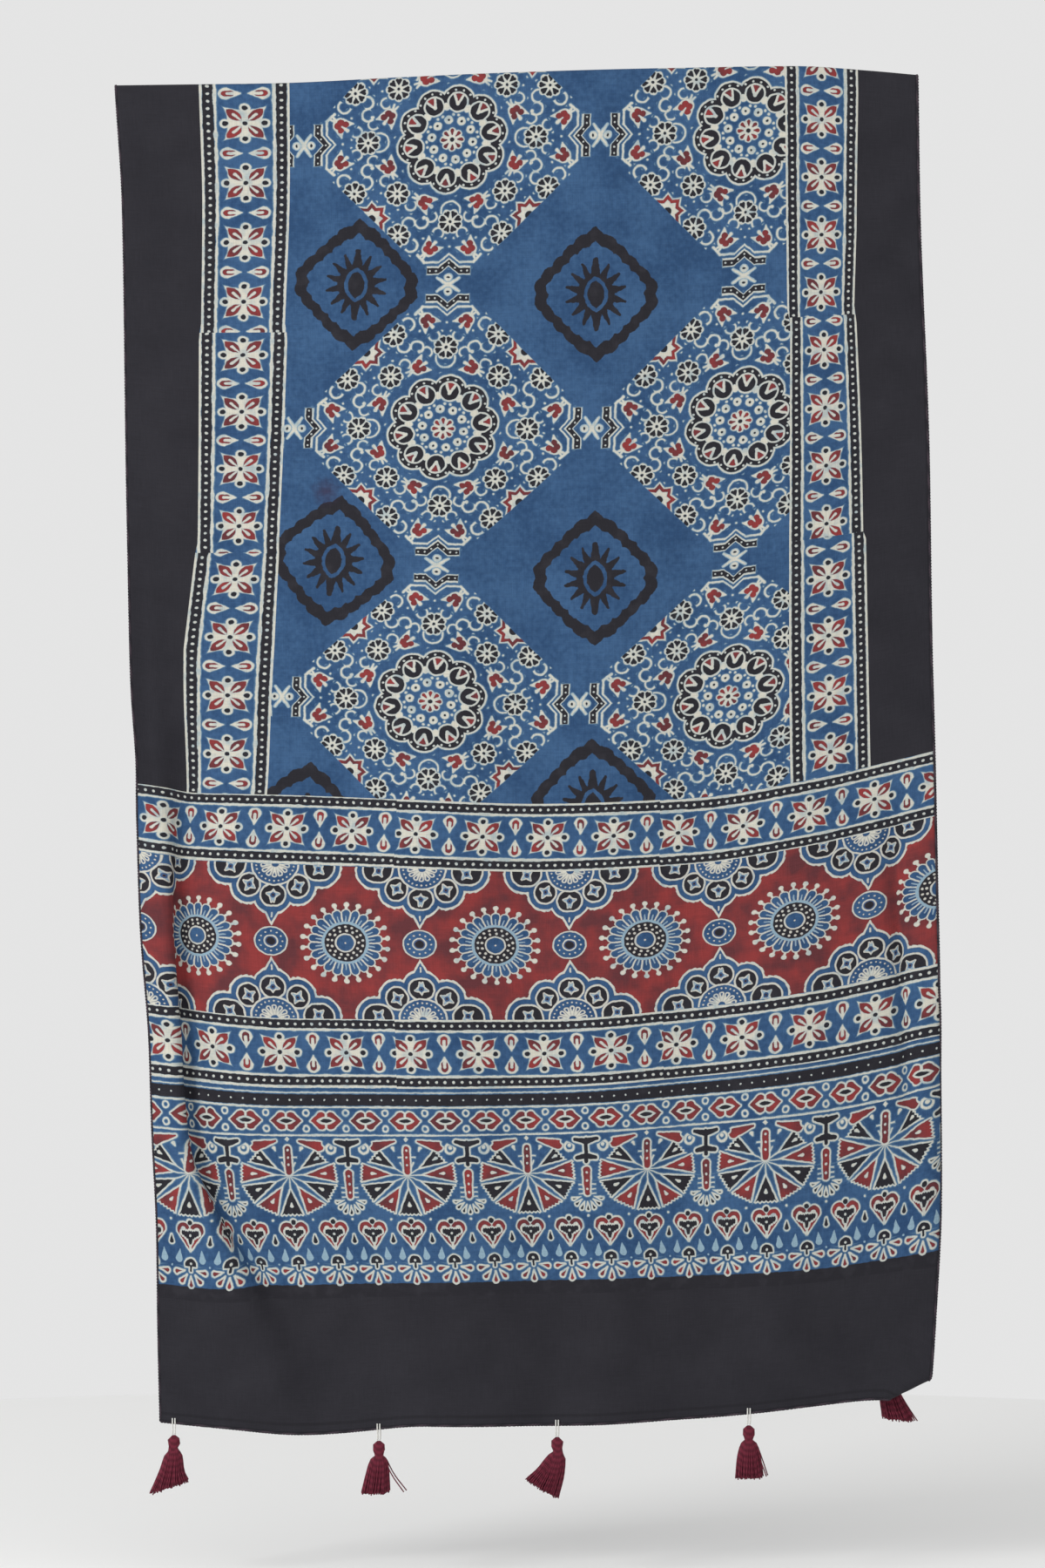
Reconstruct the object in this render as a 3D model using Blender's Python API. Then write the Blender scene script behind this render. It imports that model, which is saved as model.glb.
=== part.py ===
"""A block-printed ajrakh stole, hanging from the fold at its top edge, with five tassels on its front end.

Metres, +Z up. The front half faces -Y. The origin is at the middle of the top fold, where the stole hangs.
A point of the cloth is named by its flat place: across, from the left selvedge, and down, from the fold.
Down is positive on the front half and negative on the back half.
"""

import math
from collections import namedtuple

import bpy
import numpy as np
from mathutils import Vector

CLOTH_WIDTH = 0.575
FRONT_LENGTH = 0.9485
BACK_LENGTH = 0.850
CLOTH_THICKNESS = 0.0012
FOLD_RADIUS = 0.0028
CLEARANCE = 0.0003

# The places across at which a weft line's height is given, as shares of the width.
STATIONS = (0.0, 0.08, 0.20, 0.35, 0.50, 0.70, 0.85, 0.94, 1.0)
# How high each weft line hangs at those stations: it bows, because the right side is pulled up.
WeftLine = namedtuple("WeftLine", "down heights")
WEFT_LINES = (
    WeftLine(0.0, (-0.0118, -0.0112, -0.0103, -0.0064, -0.0027, 0.0004, 0.0016, -0.0015, -0.0045)),
    WeftLine(0.516, (-0.5008, -0.5075, -0.5094, -0.5126, -0.5154, -0.5112, -0.4978, -0.4864, -0.4782)),
    WeftLine(0.670, (-0.6582, -0.6631, -0.6686, -0.6691, -0.6692, -0.6606, -0.6484, -0.6378, -0.6301)),
    WeftLine(0.8461, (-0.8485, -0.8516, -0.8491, -0.8472, -0.8455, -0.8424, -0.8375, -0.8307, -0.8253)),
    WeftLine(0.9485, (-0.9443, -0.9485, -0.9528, -0.9463, -0.9461, -0.9412, -0.9327, -0.9285, -0.9530)),
)

# Where the two long edges hang.
Edges = namedtuple("Edges", "down left right")
EDGES = (
    Edges(0.0, -0.2810, 0.2800),
    Edges(0.09, -0.2760, 0.2812),
    Edges(0.29, -0.2733, 0.2880),
    Edges(0.43, -0.2710, 0.2900),
    Edges(0.51, -0.2665, 0.2920),
    Edges(0.61, -0.2635, 0.2940),
    Edges(0.69, -0.2572, 0.2955),
    Edges(0.74, -0.2555, 0.2943),
    Edges(0.82, -0.2520, 0.2950),
    Edges(0.87, -0.2515, 0.2935),
    Edges(0.9485, -0.2500, 0.2870),
)

# A fold is a soft ridge that runs down the cloth. The cloth turns away from flat by some degrees before its
# crest and by some after it, each over a width. A turn above zero heads to the back, and one past 90 tucks under.
Place = namedtuple("Place", "down across before before_width after after_width")
FOLDS = (
    # the pleat along the left edge, which drifts inwards through the end border
    (
        Place(0.30, 0.012, 0.0, 0.014, 0.0, 0.014),
        Place(0.40, 0.013, 14.0, 0.014, 10.0, 0.014),
        Place(0.49, 0.013, 20.0, 0.014, 22.0, 0.016),
        Place(0.55, 0.016, -20.0, 0.012, 60.0, 0.012),
        Place(0.62, 0.0165, -18.0, 0.012, 98.0, 0.0105),
        Place(0.70, 0.0170, -16.0, 0.014, 108.0, 0.0100),
        Place(0.75, 0.0200, -16.0, 0.016, 104.0, 0.0100),
        Place(0.80, 0.0380, -14.0, 0.024, 86.0, 0.0115),
        Place(0.845, 0.0590, -12.0, 0.030, 45.0, 0.018),
        Place(0.90, 0.0800, -9.0, 0.034, 20.0, 0.026),
        Place(0.95, 0.0980, -7.0, 0.034, 12.0, 0.030),
    ),
    # the far side of the pleat's valley, which comes forward again
    (
        Place(0.45, 0.036, 0.0, 0.020, 0.0, 0.030),
        Place(0.55, 0.036, 0.0, 0.020, -20.0, 0.026),
        Place(0.62, 0.036, 0.0, 0.020, -32.0, 0.024),
        Place(0.72, 0.036, 0.0, 0.020, -32.0, 0.024),
        Place(0.78, 0.048, 0.0, 0.020, -28.0, 0.026),
        Place(0.845, 0.078, 0.0, 0.020, -16.0, 0.030),
        Place(0.90, 0.110, 0.0, 0.020, -8.0, 0.034),
    ),
    # broad waves through the field
    (
        Place(0.0, 0.225, -1.0, 0.060, 1.0, 0.060),
        Place(0.40, 0.225, -7.0, 0.060, 7.0, 0.060),
        Place(0.95, 0.230, -10.0, 0.045, 10.0, 0.045),
    ),
    (
        Place(0.0, 0.340, -1.0, 0.050, 1.0, 0.055),
        Place(0.40, 0.345, -6.0, 0.050, 6.0, 0.055),
        Place(0.95, 0.330, -11.0, 0.030, 9.0, 0.040),
    ),
    (
        Place(0.0, 0.480, -1.0, 0.045, 1.0, 0.035),
        Place(0.50, 0.470, -5.0, 0.045, 6.0, 0.035),
        Place(0.95, 0.455, -9.0, 0.036, 9.0, 0.036),
    ),
    # the narrow valley beside the right edge
    (
        Place(0.52, 0.545, 0.0, 0.010, 0.0, 0.010),
        Place(0.64, 0.548, 34.0, 0.010, -30.0, 0.010),
        Place(0.72, 0.552, 30.0, 0.010, -26.0, 0.010),
        Place(0.80, 0.556, 0.0, 0.010, 0.0, 0.010),
    ),
)
# The back half follows these folds less and less as it goes down, and hangs this far behind.
BACK_FOLLOWS = 0.45
BACK_BEHIND = 0.015
BACK_SETTLED = 0.40

# How far the right edge curls back, in degrees, over the last stretch of the width.
Curl = namedtuple("Curl", "down turn")
RIGHT_CURL = (Curl(0.68, 0.0), Curl(0.76, 65.0), Curl(0.82, 40.0), Curl(0.88, 0.0))
CURL_WIDTH = 0.012

# The lower right corner is turned back behind, about a slanting line.
CORNER_LINE_POINT = (0.2867, -0.9120)
CORNER_LINE_ALONG = (-0.898, -0.440)
CORNER_ROLL_RADIUS = 0.0040

# The grid: stretches of the width and of the length, each with its number of cells.
Stretch = namedtuple("Stretch", "start end cells")
ACROSS_CELLS = (Stretch(0.0, 0.118, 20), Stretch(0.118, 0.515, 8), Stretch(0.515, CLOTH_WIDTH, 8))
FRONT_CELLS = (Stretch(0.0, 0.48, 9), Stretch(0.48, 0.875, 19), Stretch(0.875, FRONT_LENGTH, 11))
BACK_CELLS = (Stretch(0.0, 0.48, 6), Stretch(0.48, BACK_LENGTH, 8))
FOLD_CELLS = 5
HEM_SPAN = 0.003
FINE_STATIONS = np.linspace(0.0, CLOTH_WIDTH, 576)

# Each tassel hangs from the hem at its place across, and leans by these amounts over its length.
Tassel = namedtuple("Tassel", "across lean_right lean_back spread")
TASSELS = (
    Tassel(0.0100, -0.0035, 0.000, 1.15),
    Tassel(0.1640, 0.0000, 0.000, 0.95),
    Tassel(0.2980, -0.0120, 0.001, 0.95),
    Tassel(0.4418, 0.0000, 0.000, 0.90),
)
LAST_TASSEL = Tassel(0.5690, 0.0085, 0.005, 1.10)
Ring = namedtuple("Ring", "radius below")
TASSEL_PROFILE = (
    Ring(0.0026, 0.0008),
    Ring(0.0043, 0.0034),
    Ring(0.0044, 0.0062),
    Ring(0.0030, 0.0092),
    Ring(0.0034, 0.0108),
    Ring(0.0068, 0.0165),
    Ring(0.0092, 0.0250),
    Ring(0.0112, 0.0345),
    Ring(0.0104, 0.0360),
)
TASSEL_SIDES = 10
TASSEL_DEPTH = 0.8
LEAN_GROWTH = 1.6
SKIRT_EDGE = 50.0
TASSEL_LENGTH = TASSEL_PROFILE[-1].below
LOOP_THREAD_RADIUS = 0.0006
LOOP_ABOVE_HEM = 0.0035
LOOP_BELOW_HEM = 0.0078
LOOP_REACH = CLOTH_THICKNESS / 2 + LOOP_THREAD_RADIUS + 2 * CLEARANCE
LOOP_SQUARENESS = 0.4
LOOP_POINTS = 9
LAST_LOOP_BEHIND = 0.0065
LAST_LOOP_DROPS = (0.15, 0.25, 0.35)


def smooth_curve(places, values, at):
    """Reads a smooth curve through (place, value) pairs, which never overshoots between them."""
    places = np.asarray(places, float)
    values = np.asarray(values, float)
    steps = np.diff(places)
    slopes = np.diff(values) / steps
    same_way = slopes[1:] * slopes[:-1] > 0
    total = np.where(same_way, slopes[1:] + slopes[:-1], 1)
    middle = np.where(same_way, 2 * slopes[1:] * slopes[:-1] / total, 0)
    tangents = np.concatenate([slopes[:1], middle, slopes[-1:]])
    at = np.clip(at, places[0], places[-1])
    cell = np.clip(np.searchsorted(places, at) - 1, 0, len(steps) - 1)
    t = (at - places[cell]) / steps[cell]
    rise = values[cell + 1] - values[cell]
    start, end = tangents[cell] * steps[cell], tangents[cell + 1] * steps[cell]
    return values[cell] + start * t + (3 * rise - 2 * start - end) * t**2 + (start + end - 2 * rise) * t**3


def read(table, column, down):
    return float(smooth_curve([row.down for row in table], [getattr(row, column) for row in table], down))


def weft_height(across, down):
    """Height of the weft line at this distance down, at these places across."""
    downs = [line.down for line in WEFT_LINES]
    heights = [
        float(smooth_curve(downs, [line.heights[i] for line in WEFT_LINES], down)) for i in range(len(STATIONS))
    ]
    return smooth_curve(STATIONS, heights, np.asarray(across) / CLOTH_WIDTH)


def turn_by(place, angle, width):
    """A turn that grows from nothing at a crest to the given angle, in degrees, and dies away past the width."""
    t = place / width
    return math.radians(angle) * t * np.exp(0.5 - t * t) * math.sqrt(2)


def headings(down):
    """The cloth's heading in radians at the fine stations of one weft line: 0 is across, above 0 to the back."""
    heading = np.zeros_like(FINE_STATIONS)
    for fold in FOLDS:
        place = FINE_STATIONS - read(fold, "across", down)
        before = turn_by(-place, read(fold, "before", down), read(fold, "before_width", down))
        after = turn_by(place, read(fold, "after", down), read(fold, "after_width", down))
        heading += np.where(place < 0, before, after)
    past = np.clip((FINE_STATIONS - (CLOTH_WIDTH - CURL_WIDTH)) / CURL_WIDTH, 0, 1)
    return heading + math.radians(read(RIGHT_CURL, "turn", down)) * past


def cross_section(down, follows=1.0):
    """One weft line's way across: its x and its depth at the fine stations, with the cloth's length kept."""
    heading = headings(down) * follows
    step = FINE_STATIONS[1] - FINE_STATIONS[0]
    along = (heading[1:] + heading[:-1]) / 2
    x = np.concatenate([[0.0], np.cumsum(np.cos(along)) * step])
    depth = np.concatenate([[0.0], np.cumsum(np.sin(along)) * step])
    left, right = read(EDGES, "left", down), read(EDGES, "right", down)
    x = left + (x - x.min()) * (right - left) / (x.max() - x.min())
    return x, depth - depth.mean()


def half_surface(across, downs, back=False):
    """Points of the surface that one half hangs beside, as an array of rows by columns by 3."""
    points = []
    for down in downs:
        settled = min(down / BACK_SETTLED, 1.0) if back else 0.0
        x, depth = cross_section(down, 1 - (1 - BACK_FOLLOWS) * settled)
        depth = depth + BACK_BEHIND * settled
        line = [np.interp(across, FINE_STATIONS, values) for values in (x, depth)]
        points.append(np.column_stack([*line, weft_height(across, down)]))
    return np.array(points)


def unit(vectors):
    return vectors / np.linalg.norm(vectors, axis=-1, keepdims=True)


def normals_of(points, across, downs):
    """Unit normals of a surface of rows by columns, pointing to the back."""
    along = np.gradient(points, across, axis=1)
    below = np.gradient(points, downs, axis=0)
    return unit(np.cross(along, below))


def stations(stretches):
    places = [np.linspace(s.start, s.end, s.cells + 1)[:-1] for s in stretches]
    return np.concatenate(places + [[stretches[-1].end]])


def across_stations():
    """The grid's places across, with the nearest one moved to each tassel, so that the hem passes through it."""
    across = stations(ACROSS_CELLS)
    for tassel in (*TASSELS, LAST_TASSEL):
        across[np.abs(across - tassel.across).argmin()] = tassel.across
    return across


def turn_corner(points):
    """Rolls what lies past the slanting line round to the back."""
    along = Vector((CORNER_LINE_ALONG[0], 0.0, CORNER_LINE_ALONG[1])).normalized()
    outward = Vector((-along.z, 0.0, along.x))
    start = Vector((CORNER_LINE_POINT[0], 0.0, CORNER_LINE_POINT[1]))
    turned = points.copy()
    for index in np.ndindex(points.shape[:2]):
        point = Vector(points[index])
        past = (point - start).dot(outward)
        if past <= 0:
            continue
        angle = min(past / CORNER_ROLL_RADIUS, math.pi)
        beyond = past - angle * CORNER_ROLL_RADIUS
        moved = point + outward * (CORNER_ROLL_RADIUS * math.sin(angle) - beyond * (angle == math.pi) - past)
        moved.y += CORNER_ROLL_RADIUS * (1 - math.cos(angle))
        turned[index] = moved
    return turned


def front_half(across, downs):
    points = half_surface(across, downs)
    return turn_corner(points - FOLD_RADIUS * normals_of(points, across, downs))


def back_half(across, downs):
    points = half_surface(across, downs, back=True)
    return points + FOLD_RADIUS * normals_of(points, across, downs)


def fold_rows(across):
    """The rows round the top fold, from the front half to the back half, without its two end rows."""
    downs = HEM_SPAN * np.array([0, 1])
    points = half_surface(across, downs)
    back = normals_of(points, across, downs)[0]
    up = unit(points[0] - points[1])
    angles = np.linspace(0, math.pi, FOLD_CELLS + 1)[1:-1]
    return np.array([points[0] + FOLD_RADIUS * (up * math.sin(a) - back * math.cos(a)) for a in angles])


def material(name, colour, roughness):
    made = bpy.data.materials.new(name)
    made.use_nodes = True
    shader = made.node_tree.nodes["Principled BSDF"]
    shader.inputs["Base Color"].default_value = (*colour, 1)
    shader.inputs["Roughness"].default_value = roughness
    shader.inputs["Metallic"].default_value = 0.0
    return made


def new_object(name, mesh, finish):
    mesh.materials.append(finish)
    made = bpy.data.objects.new(name, mesh)
    bpy.context.scene.collection.objects.link(made)
    return made


def grid_mesh(name, points):
    """A smooth mesh of quads through rows by columns of points."""
    rows, columns = points.shape[:2]
    faces = [
        (r * columns + c, r * columns + c + 1, (r + 1) * columns + c + 1, (r + 1) * columns + c)
        for r in range(rows - 1)
        for c in range(columns - 1)
    ]
    mesh = bpy.data.meshes.new(name)
    mesh.from_pydata(points.reshape(-1, 3).tolist(), [], faces)
    mesh.shade_smooth()
    return mesh


def make_cloth(finish):
    """The whole stole: one sheet up the front, round the fold and down the back."""
    across = across_stations()
    front = front_half(across, stations(FRONT_CELLS))
    back = back_half(across, stations(BACK_CELLS))
    sheet = np.concatenate([front[::-1], fold_rows(across), back])
    cloth = new_object("cloth", grid_mesh("cloth", sheet), finish)
    thick = cloth.modifiers.new("Thickness", "SOLIDIFY")
    thick.thickness = CLOTH_THICKNESS
    thick.offset = 0.0
    return cloth


def hem_frame(across):
    """The point of the front end's hem at this place, with the directions up the cloth and to its back."""
    near = across + HEM_SPAN * np.array([-1, 0, 1])
    downs = FRONT_LENGTH + HEM_SPAN * np.array([-2, -1, 0])
    points = front_half(near, downs)
    back = normals_of(points, near, downs)[2, 1]
    up = unit(points[1, 1] - points[2, 1])
    return Vector(points[2, 1]), Vector(up), Vector(back)


def loop_points(at, up, back):
    """The way of a thread that straddles the hem and hangs below it. Its ends stop short of the cloth's faces."""
    down = Vector((0, 0, -1))
    points = []
    for i in range(LOOP_POINTS):
        turn = math.pi * i / (LOOP_POINTS - 1)
        side = -math.copysign(abs(math.cos(turn)) ** LOOP_SQUARENESS, math.cos(turn))
        hang = math.sin(turn)
        legs = up * (LOOP_ABOVE_HEM * (1 - hang)) + down * (LOOP_BELOW_HEM * hang)
        points.append(at + back * (LOOP_REACH * side) + legs)
    return points


def last_loop_points(at, up, back):
    """The way of the thread at the turned corner, where the cloth's back faces forwards: over the edge, then down."""
    down = Vector((0, 0, -1))
    over = at - up * (2 * LOOP_THREAD_RADIUS)
    behind = over - back * LAST_LOOP_BEHIND
    return [
        at + up * LOOP_ABOVE_HEM / 2 + back * LOOP_REACH,
        over + back * LOOP_REACH,
        over - up * LOOP_THREAD_RADIUS,
        over - back * LOOP_REACH,
        *(behind + down * (LOOP_BELOW_HEM * share) for share in LAST_LOOP_DROPS),
    ]


def make_loop(name, points, finish):
    curve = bpy.data.curves.new(name, "CURVE")
    curve.dimensions = "3D"
    curve.bevel_depth = LOOP_THREAD_RADIUS
    curve.bevel_resolution = 1
    curve.use_fill_caps = True
    spline = curve.splines.new("POLY")
    spline.points.add(len(points) - 1)
    for spot, point in zip(spline.points, points):
        spot.co = (*point, 1)
    return new_object(name, curve, finish)


def make_tassel(name, top, tassel, finish):
    """A knot head and flared skirt, one closed solid of rings that lean sideways as they go down."""
    points, faces = [], []
    for ring in TASSEL_PROFILE:
        share = (ring.below / TASSEL_LENGTH) ** LEAN_GROWTH
        radius = ring.radius * (1 + (tassel.spread - 1) * share)
        for side in range(TASSEL_SIDES):
            angle = 2 * math.pi * side / TASSEL_SIDES
            points.append(
                (
                    top.x + tassel.lean_right * share + radius * math.cos(angle),
                    top.y + tassel.lean_back * share + radius * TASSEL_DEPTH * math.sin(angle),
                    top.z - ring.below,
                )
            )
    for r in range(len(TASSEL_PROFILE) - 1):
        for side in range(TASSEL_SIDES):
            right = (side + 1) % TASSEL_SIDES
            a, b = r * TASSEL_SIDES, (r + 1) * TASSEL_SIDES
            faces.append((a + side, b + side, b + right, a + right))
    faces.append(tuple(range(TASSEL_SIDES)))
    last = (len(TASSEL_PROFILE) - 1) * TASSEL_SIDES
    faces.append(tuple(last + side for side in reversed(range(TASSEL_SIDES))))
    mesh = bpy.data.meshes.new(name)
    mesh.from_pydata(points, [], faces)
    mesh.shade_smooth()
    mesh.set_sharp_from_angle(angle=math.radians(SKIRT_EDGE))
    return new_object(name, mesh, finish)


def hang_tassels(maroon, white):
    for number, tassel in enumerate((*TASSELS, LAST_TASSEL), 1):
        way = last_loop_points if tassel is LAST_TASSEL else loop_points
        points = way(*hem_frame(tassel.across))
        make_loop(f"tassel_loop_{number}", points, white)
        lowest = min(points, key=lambda point: point.z)
        top = lowest + Vector((0, 0, -(LOOP_THREAD_RADIUS + CLEARANCE)))
        make_tassel(f"tassel_{number}", top, tassel, maroon)


def clear_scene():
    for item in list(bpy.data.objects):
        bpy.data.objects.remove(item, do_unlink=True)


def main():
    clear_scene()
    printed = material("printed_cotton", (0.045, 0.085, 0.19), 0.85)
    maroon = material("tassel_thread", (0.10, 0.012, 0.025), 0.7)
    white = material("white_thread", (0.75, 0.74, 0.70), 0.7)
    make_cloth(printed)
    hang_tassels(maroon, white)


main()
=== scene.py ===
"""The looks of a block-printed ajrakh stole that hangs folded over its top edge.

Metres, +Z up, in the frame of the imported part. The front half faces -Y and the top fold is at z = 0.
A point of the cloth is named by its flat place: across, from the left selvedge, and down, from the fold.
Down is positive on the front half and negative on the back half.
The print is drawn by shader nodes. Each shape of a motif is a signed distance, below zero inside the shape.
The dyes are laid one shape after another, as the printer's blocks lay them.
"""

import math
from collections import namedtuple
from functools import partialmethod, reduce

import bpy
import numpy as np
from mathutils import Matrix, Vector

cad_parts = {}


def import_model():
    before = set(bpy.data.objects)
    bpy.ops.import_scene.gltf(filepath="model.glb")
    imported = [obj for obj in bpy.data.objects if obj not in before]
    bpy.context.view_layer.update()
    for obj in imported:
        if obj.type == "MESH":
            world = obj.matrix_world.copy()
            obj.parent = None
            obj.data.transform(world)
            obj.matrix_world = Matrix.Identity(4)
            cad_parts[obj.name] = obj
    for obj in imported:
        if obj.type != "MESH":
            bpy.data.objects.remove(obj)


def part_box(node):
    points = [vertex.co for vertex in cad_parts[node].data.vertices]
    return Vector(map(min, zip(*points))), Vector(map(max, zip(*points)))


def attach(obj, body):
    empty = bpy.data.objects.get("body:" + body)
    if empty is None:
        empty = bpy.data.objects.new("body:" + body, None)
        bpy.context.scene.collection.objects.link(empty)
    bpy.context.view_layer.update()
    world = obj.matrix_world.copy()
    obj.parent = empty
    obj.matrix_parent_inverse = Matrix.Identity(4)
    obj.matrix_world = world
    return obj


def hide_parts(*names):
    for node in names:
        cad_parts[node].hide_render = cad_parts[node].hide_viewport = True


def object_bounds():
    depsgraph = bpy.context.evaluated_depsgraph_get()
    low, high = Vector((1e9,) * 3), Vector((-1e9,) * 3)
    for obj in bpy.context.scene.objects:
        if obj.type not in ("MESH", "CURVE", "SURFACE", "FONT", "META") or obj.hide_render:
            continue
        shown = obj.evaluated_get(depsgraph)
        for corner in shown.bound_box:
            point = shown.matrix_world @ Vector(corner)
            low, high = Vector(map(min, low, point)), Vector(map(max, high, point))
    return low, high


# ---------------------------------------------------------------- the hang of the cloth

CLOTH_WIDTH = 0.575
FRONT_LENGTH = 0.9485
BACK_LENGTH = 0.850
CLOTH_THICKNESS = 0.0010
FOLD_RADIUS = 0.0028

# The places across at which a weft line's height is given, as shares of the width.
STATIONS = (0.0, 0.08, 0.20, 0.35, 0.50, 0.70, 0.85, 0.94, 1.0)
# How high each weft line hangs at those stations: it bows, because the right side is pulled up.
WeftLine = namedtuple("WeftLine", "down heights")
WEFT_LINES = (
    WeftLine(0.0, (-0.0118, -0.0112, -0.0103, -0.0064, -0.0027, 0.0004, 0.0016, -0.0015, -0.0045)),
    WeftLine(0.516, (-0.5008, -0.5075, -0.5094, -0.5126, -0.5154, -0.5112, -0.4978, -0.4864, -0.4782)),
    WeftLine(0.670, (-0.6582, -0.6631, -0.6686, -0.6691, -0.6692, -0.6606, -0.6484, -0.6378, -0.6301)),
    WeftLine(0.8461, (-0.8485, -0.8516, -0.8491, -0.8472, -0.8455, -0.8424, -0.8375, -0.8307, -0.8253)),
    WeftLine(0.9485, (-0.9443, -0.9485, -0.9528, -0.9463, -0.9461, -0.9412, -0.9327, -0.9285, -0.9530)),
)

# Where the two long edges hang.
Edges = namedtuple("Edges", "down left right")
EDGES = (
    Edges(0.0, -0.2810, 0.2800),
    Edges(0.09, -0.2760, 0.2812),
    Edges(0.29, -0.2733, 0.2880),
    Edges(0.43, -0.2710, 0.2900),
    Edges(0.51, -0.2665, 0.2920),
    Edges(0.61, -0.2635, 0.2940),
    Edges(0.69, -0.2572, 0.2955),
    Edges(0.74, -0.2555, 0.2943),
    Edges(0.82, -0.2520, 0.2950),
    Edges(0.87, -0.2515, 0.2935),
    Edges(0.9485, -0.2500, 0.2870),
)

# A fold is a soft ridge that runs down the cloth. The cloth turns away from flat by some degrees before its
# crest and by some after it, each over a width. A turn above zero goes to the back, and past 90 tucks under.
Place = namedtuple("Place", "down across before before_width after after_width")
FOLDS = (
    # the pleat along the left edge, which drifts inwards through the end border
    (
        Place(0.30, 0.012, 0.0, 0.014, 0.0, 0.014),
        Place(0.40, 0.013, 14.0, 0.014, 10.0, 0.014),
        Place(0.49, 0.013, 20.0, 0.014, 22.0, 0.016),
        Place(0.55, 0.016, -20.0, 0.012, 60.0, 0.012),
        Place(0.62, 0.0165, -18.0, 0.012, 98.0, 0.0105),
        Place(0.70, 0.0170, -16.0, 0.014, 108.0, 0.0100),
        Place(0.75, 0.0200, -16.0, 0.016, 104.0, 0.0100),
        Place(0.80, 0.0380, -14.0, 0.024, 86.0, 0.0115),
        Place(0.845, 0.0590, -12.0, 0.030, 45.0, 0.018),
        Place(0.90, 0.0800, -9.0, 0.034, 20.0, 0.026),
        Place(0.95, 0.0980, -7.0, 0.034, 12.0, 0.030),
    ),
    # the far side of the pleat's valley, which comes forward again
    (
        Place(0.45, 0.036, 0.0, 0.020, 0.0, 0.030),
        Place(0.55, 0.036, 0.0, 0.020, -20.0, 0.026),
        Place(0.62, 0.036, 0.0, 0.020, -32.0, 0.024),
        Place(0.72, 0.036, 0.0, 0.020, -32.0, 0.024),
        Place(0.78, 0.048, 0.0, 0.020, -28.0, 0.026),
        Place(0.845, 0.078, 0.0, 0.020, -16.0, 0.030),
        Place(0.90, 0.110, 0.0, 0.020, -8.0, 0.034),
    ),
    # broad waves through the field
    (
        Place(0.0, 0.225, -1.0, 0.060, 1.0, 0.060),
        Place(0.40, 0.225, -7.0, 0.060, 7.0, 0.060),
        Place(0.95, 0.230, -10.0, 0.045, 10.0, 0.045),
    ),
    (
        Place(0.0, 0.340, -1.0, 0.050, 1.0, 0.055),
        Place(0.40, 0.345, -6.0, 0.050, 6.0, 0.055),
        Place(0.95, 0.330, -11.0, 0.030, 9.0, 0.040),
    ),
    (
        Place(0.0, 0.480, -1.0, 0.045, 1.0, 0.035),
        Place(0.50, 0.470, -5.0, 0.045, 6.0, 0.035),
        Place(0.95, 0.455, -9.0, 0.036, 9.0, 0.036),
    ),
    # the narrow valley beside the right edge
    (
        Place(0.52, 0.545, 0.0, 0.010, 0.0, 0.010),
        Place(0.64, 0.548, 34.0, 0.010, -30.0, 0.010),
        Place(0.72, 0.552, 30.0, 0.010, -26.0, 0.010),
        Place(0.80, 0.556, 0.0, 0.010, 0.0, 0.010),
    ),
)
# The back half follows these folds less and less as it goes down, and hangs this far behind.
BACK_FOLLOWS = 0.45
BACK_BEHIND = 0.015
BACK_SETTLED = 0.40

# How far the right edge curls back, in degrees, over the last stretch of the width.
Curl = namedtuple("Curl", "down turn")
RIGHT_CURL = (Curl(0.68, 0.0), Curl(0.76, 65.0), Curl(0.82, 40.0), Curl(0.88, 0.0))
CURL_WIDTH = 0.012

# The lower right corner is turned back behind, about a slanting line.
CORNER_LINE_POINT = (0.2867, -0.9120)
CORNER_LINE_ALONG = (-0.898, -0.440)
CORNER_ROLL_RADIUS = 0.0040

HEM_SPAN = 0.003
FINE_CELLS = 1150
FINE_STATIONS = np.linspace(0.0, CLOTH_WIDTH, FINE_CELLS + 1)

# Where each tassel hangs from the hem, and its skirt's shape: how far its lower end is swept sideways, its
# half width, how much longer the strands are on the left, and how far a few strays stand out to the right.
# The last tassel hangs behind the turned corner.
Tassel = namedtuple("Tassel", "across sweep width slant stray")
TASSELS = (
    Tassel(0.0100, -0.0030, 0.0135, 0.0045, 0.000),
    Tassel(0.1640, -0.0025, 0.0100, 0.0005, 0.012),
    Tassel(0.2980, -0.0105, 0.0112, -0.0065, 0.000),
    Tassel(0.4418, 0.0000, 0.0096, 0.0000, 0.004),
    Tassel(0.5690, 0.0075, 0.0112, -0.0010, 0.003),
)
LOOP_THREAD_RADIUS = 0.0006
LOOP_ABOVE_HEM = 0.0035
LOOP_BELOW_HEM = 0.0078
LOOP_REACH = 0.0018
LOOP_SQUARENESS = 0.4
LOOP_POINTS = 9
LAST_LOOP_BEHIND = 0.0065
LAST_LOOP_DROPS = (0.15, 0.25, 0.35)


def smooth_curve(places, values, at):
    """Reads a smooth curve through (place, value) pairs, which never overshoots between them."""
    places = np.asarray(places, float)
    values = np.asarray(values, float)
    steps = np.diff(places)
    slopes = np.diff(values) / steps
    same_way = slopes[1:] * slopes[:-1] > 0
    total = np.where(same_way, slopes[1:] + slopes[:-1], 1)
    middle = np.where(same_way, 2 * slopes[1:] * slopes[:-1] / total, 0)
    tangents = np.concatenate([slopes[:1], middle, slopes[-1:]])
    at = np.clip(at, places[0], places[-1])
    cell = np.clip(np.searchsorted(places, at) - 1, 0, len(steps) - 1)
    t = (at - places[cell]) / steps[cell]
    rise = values[cell + 1] - values[cell]
    start, end = tangents[cell] * steps[cell], tangents[cell + 1] * steps[cell]
    return values[cell] + start * t + (3 * rise - 2 * start - end) * t**2 + (start + end - 2 * rise) * t**3


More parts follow.
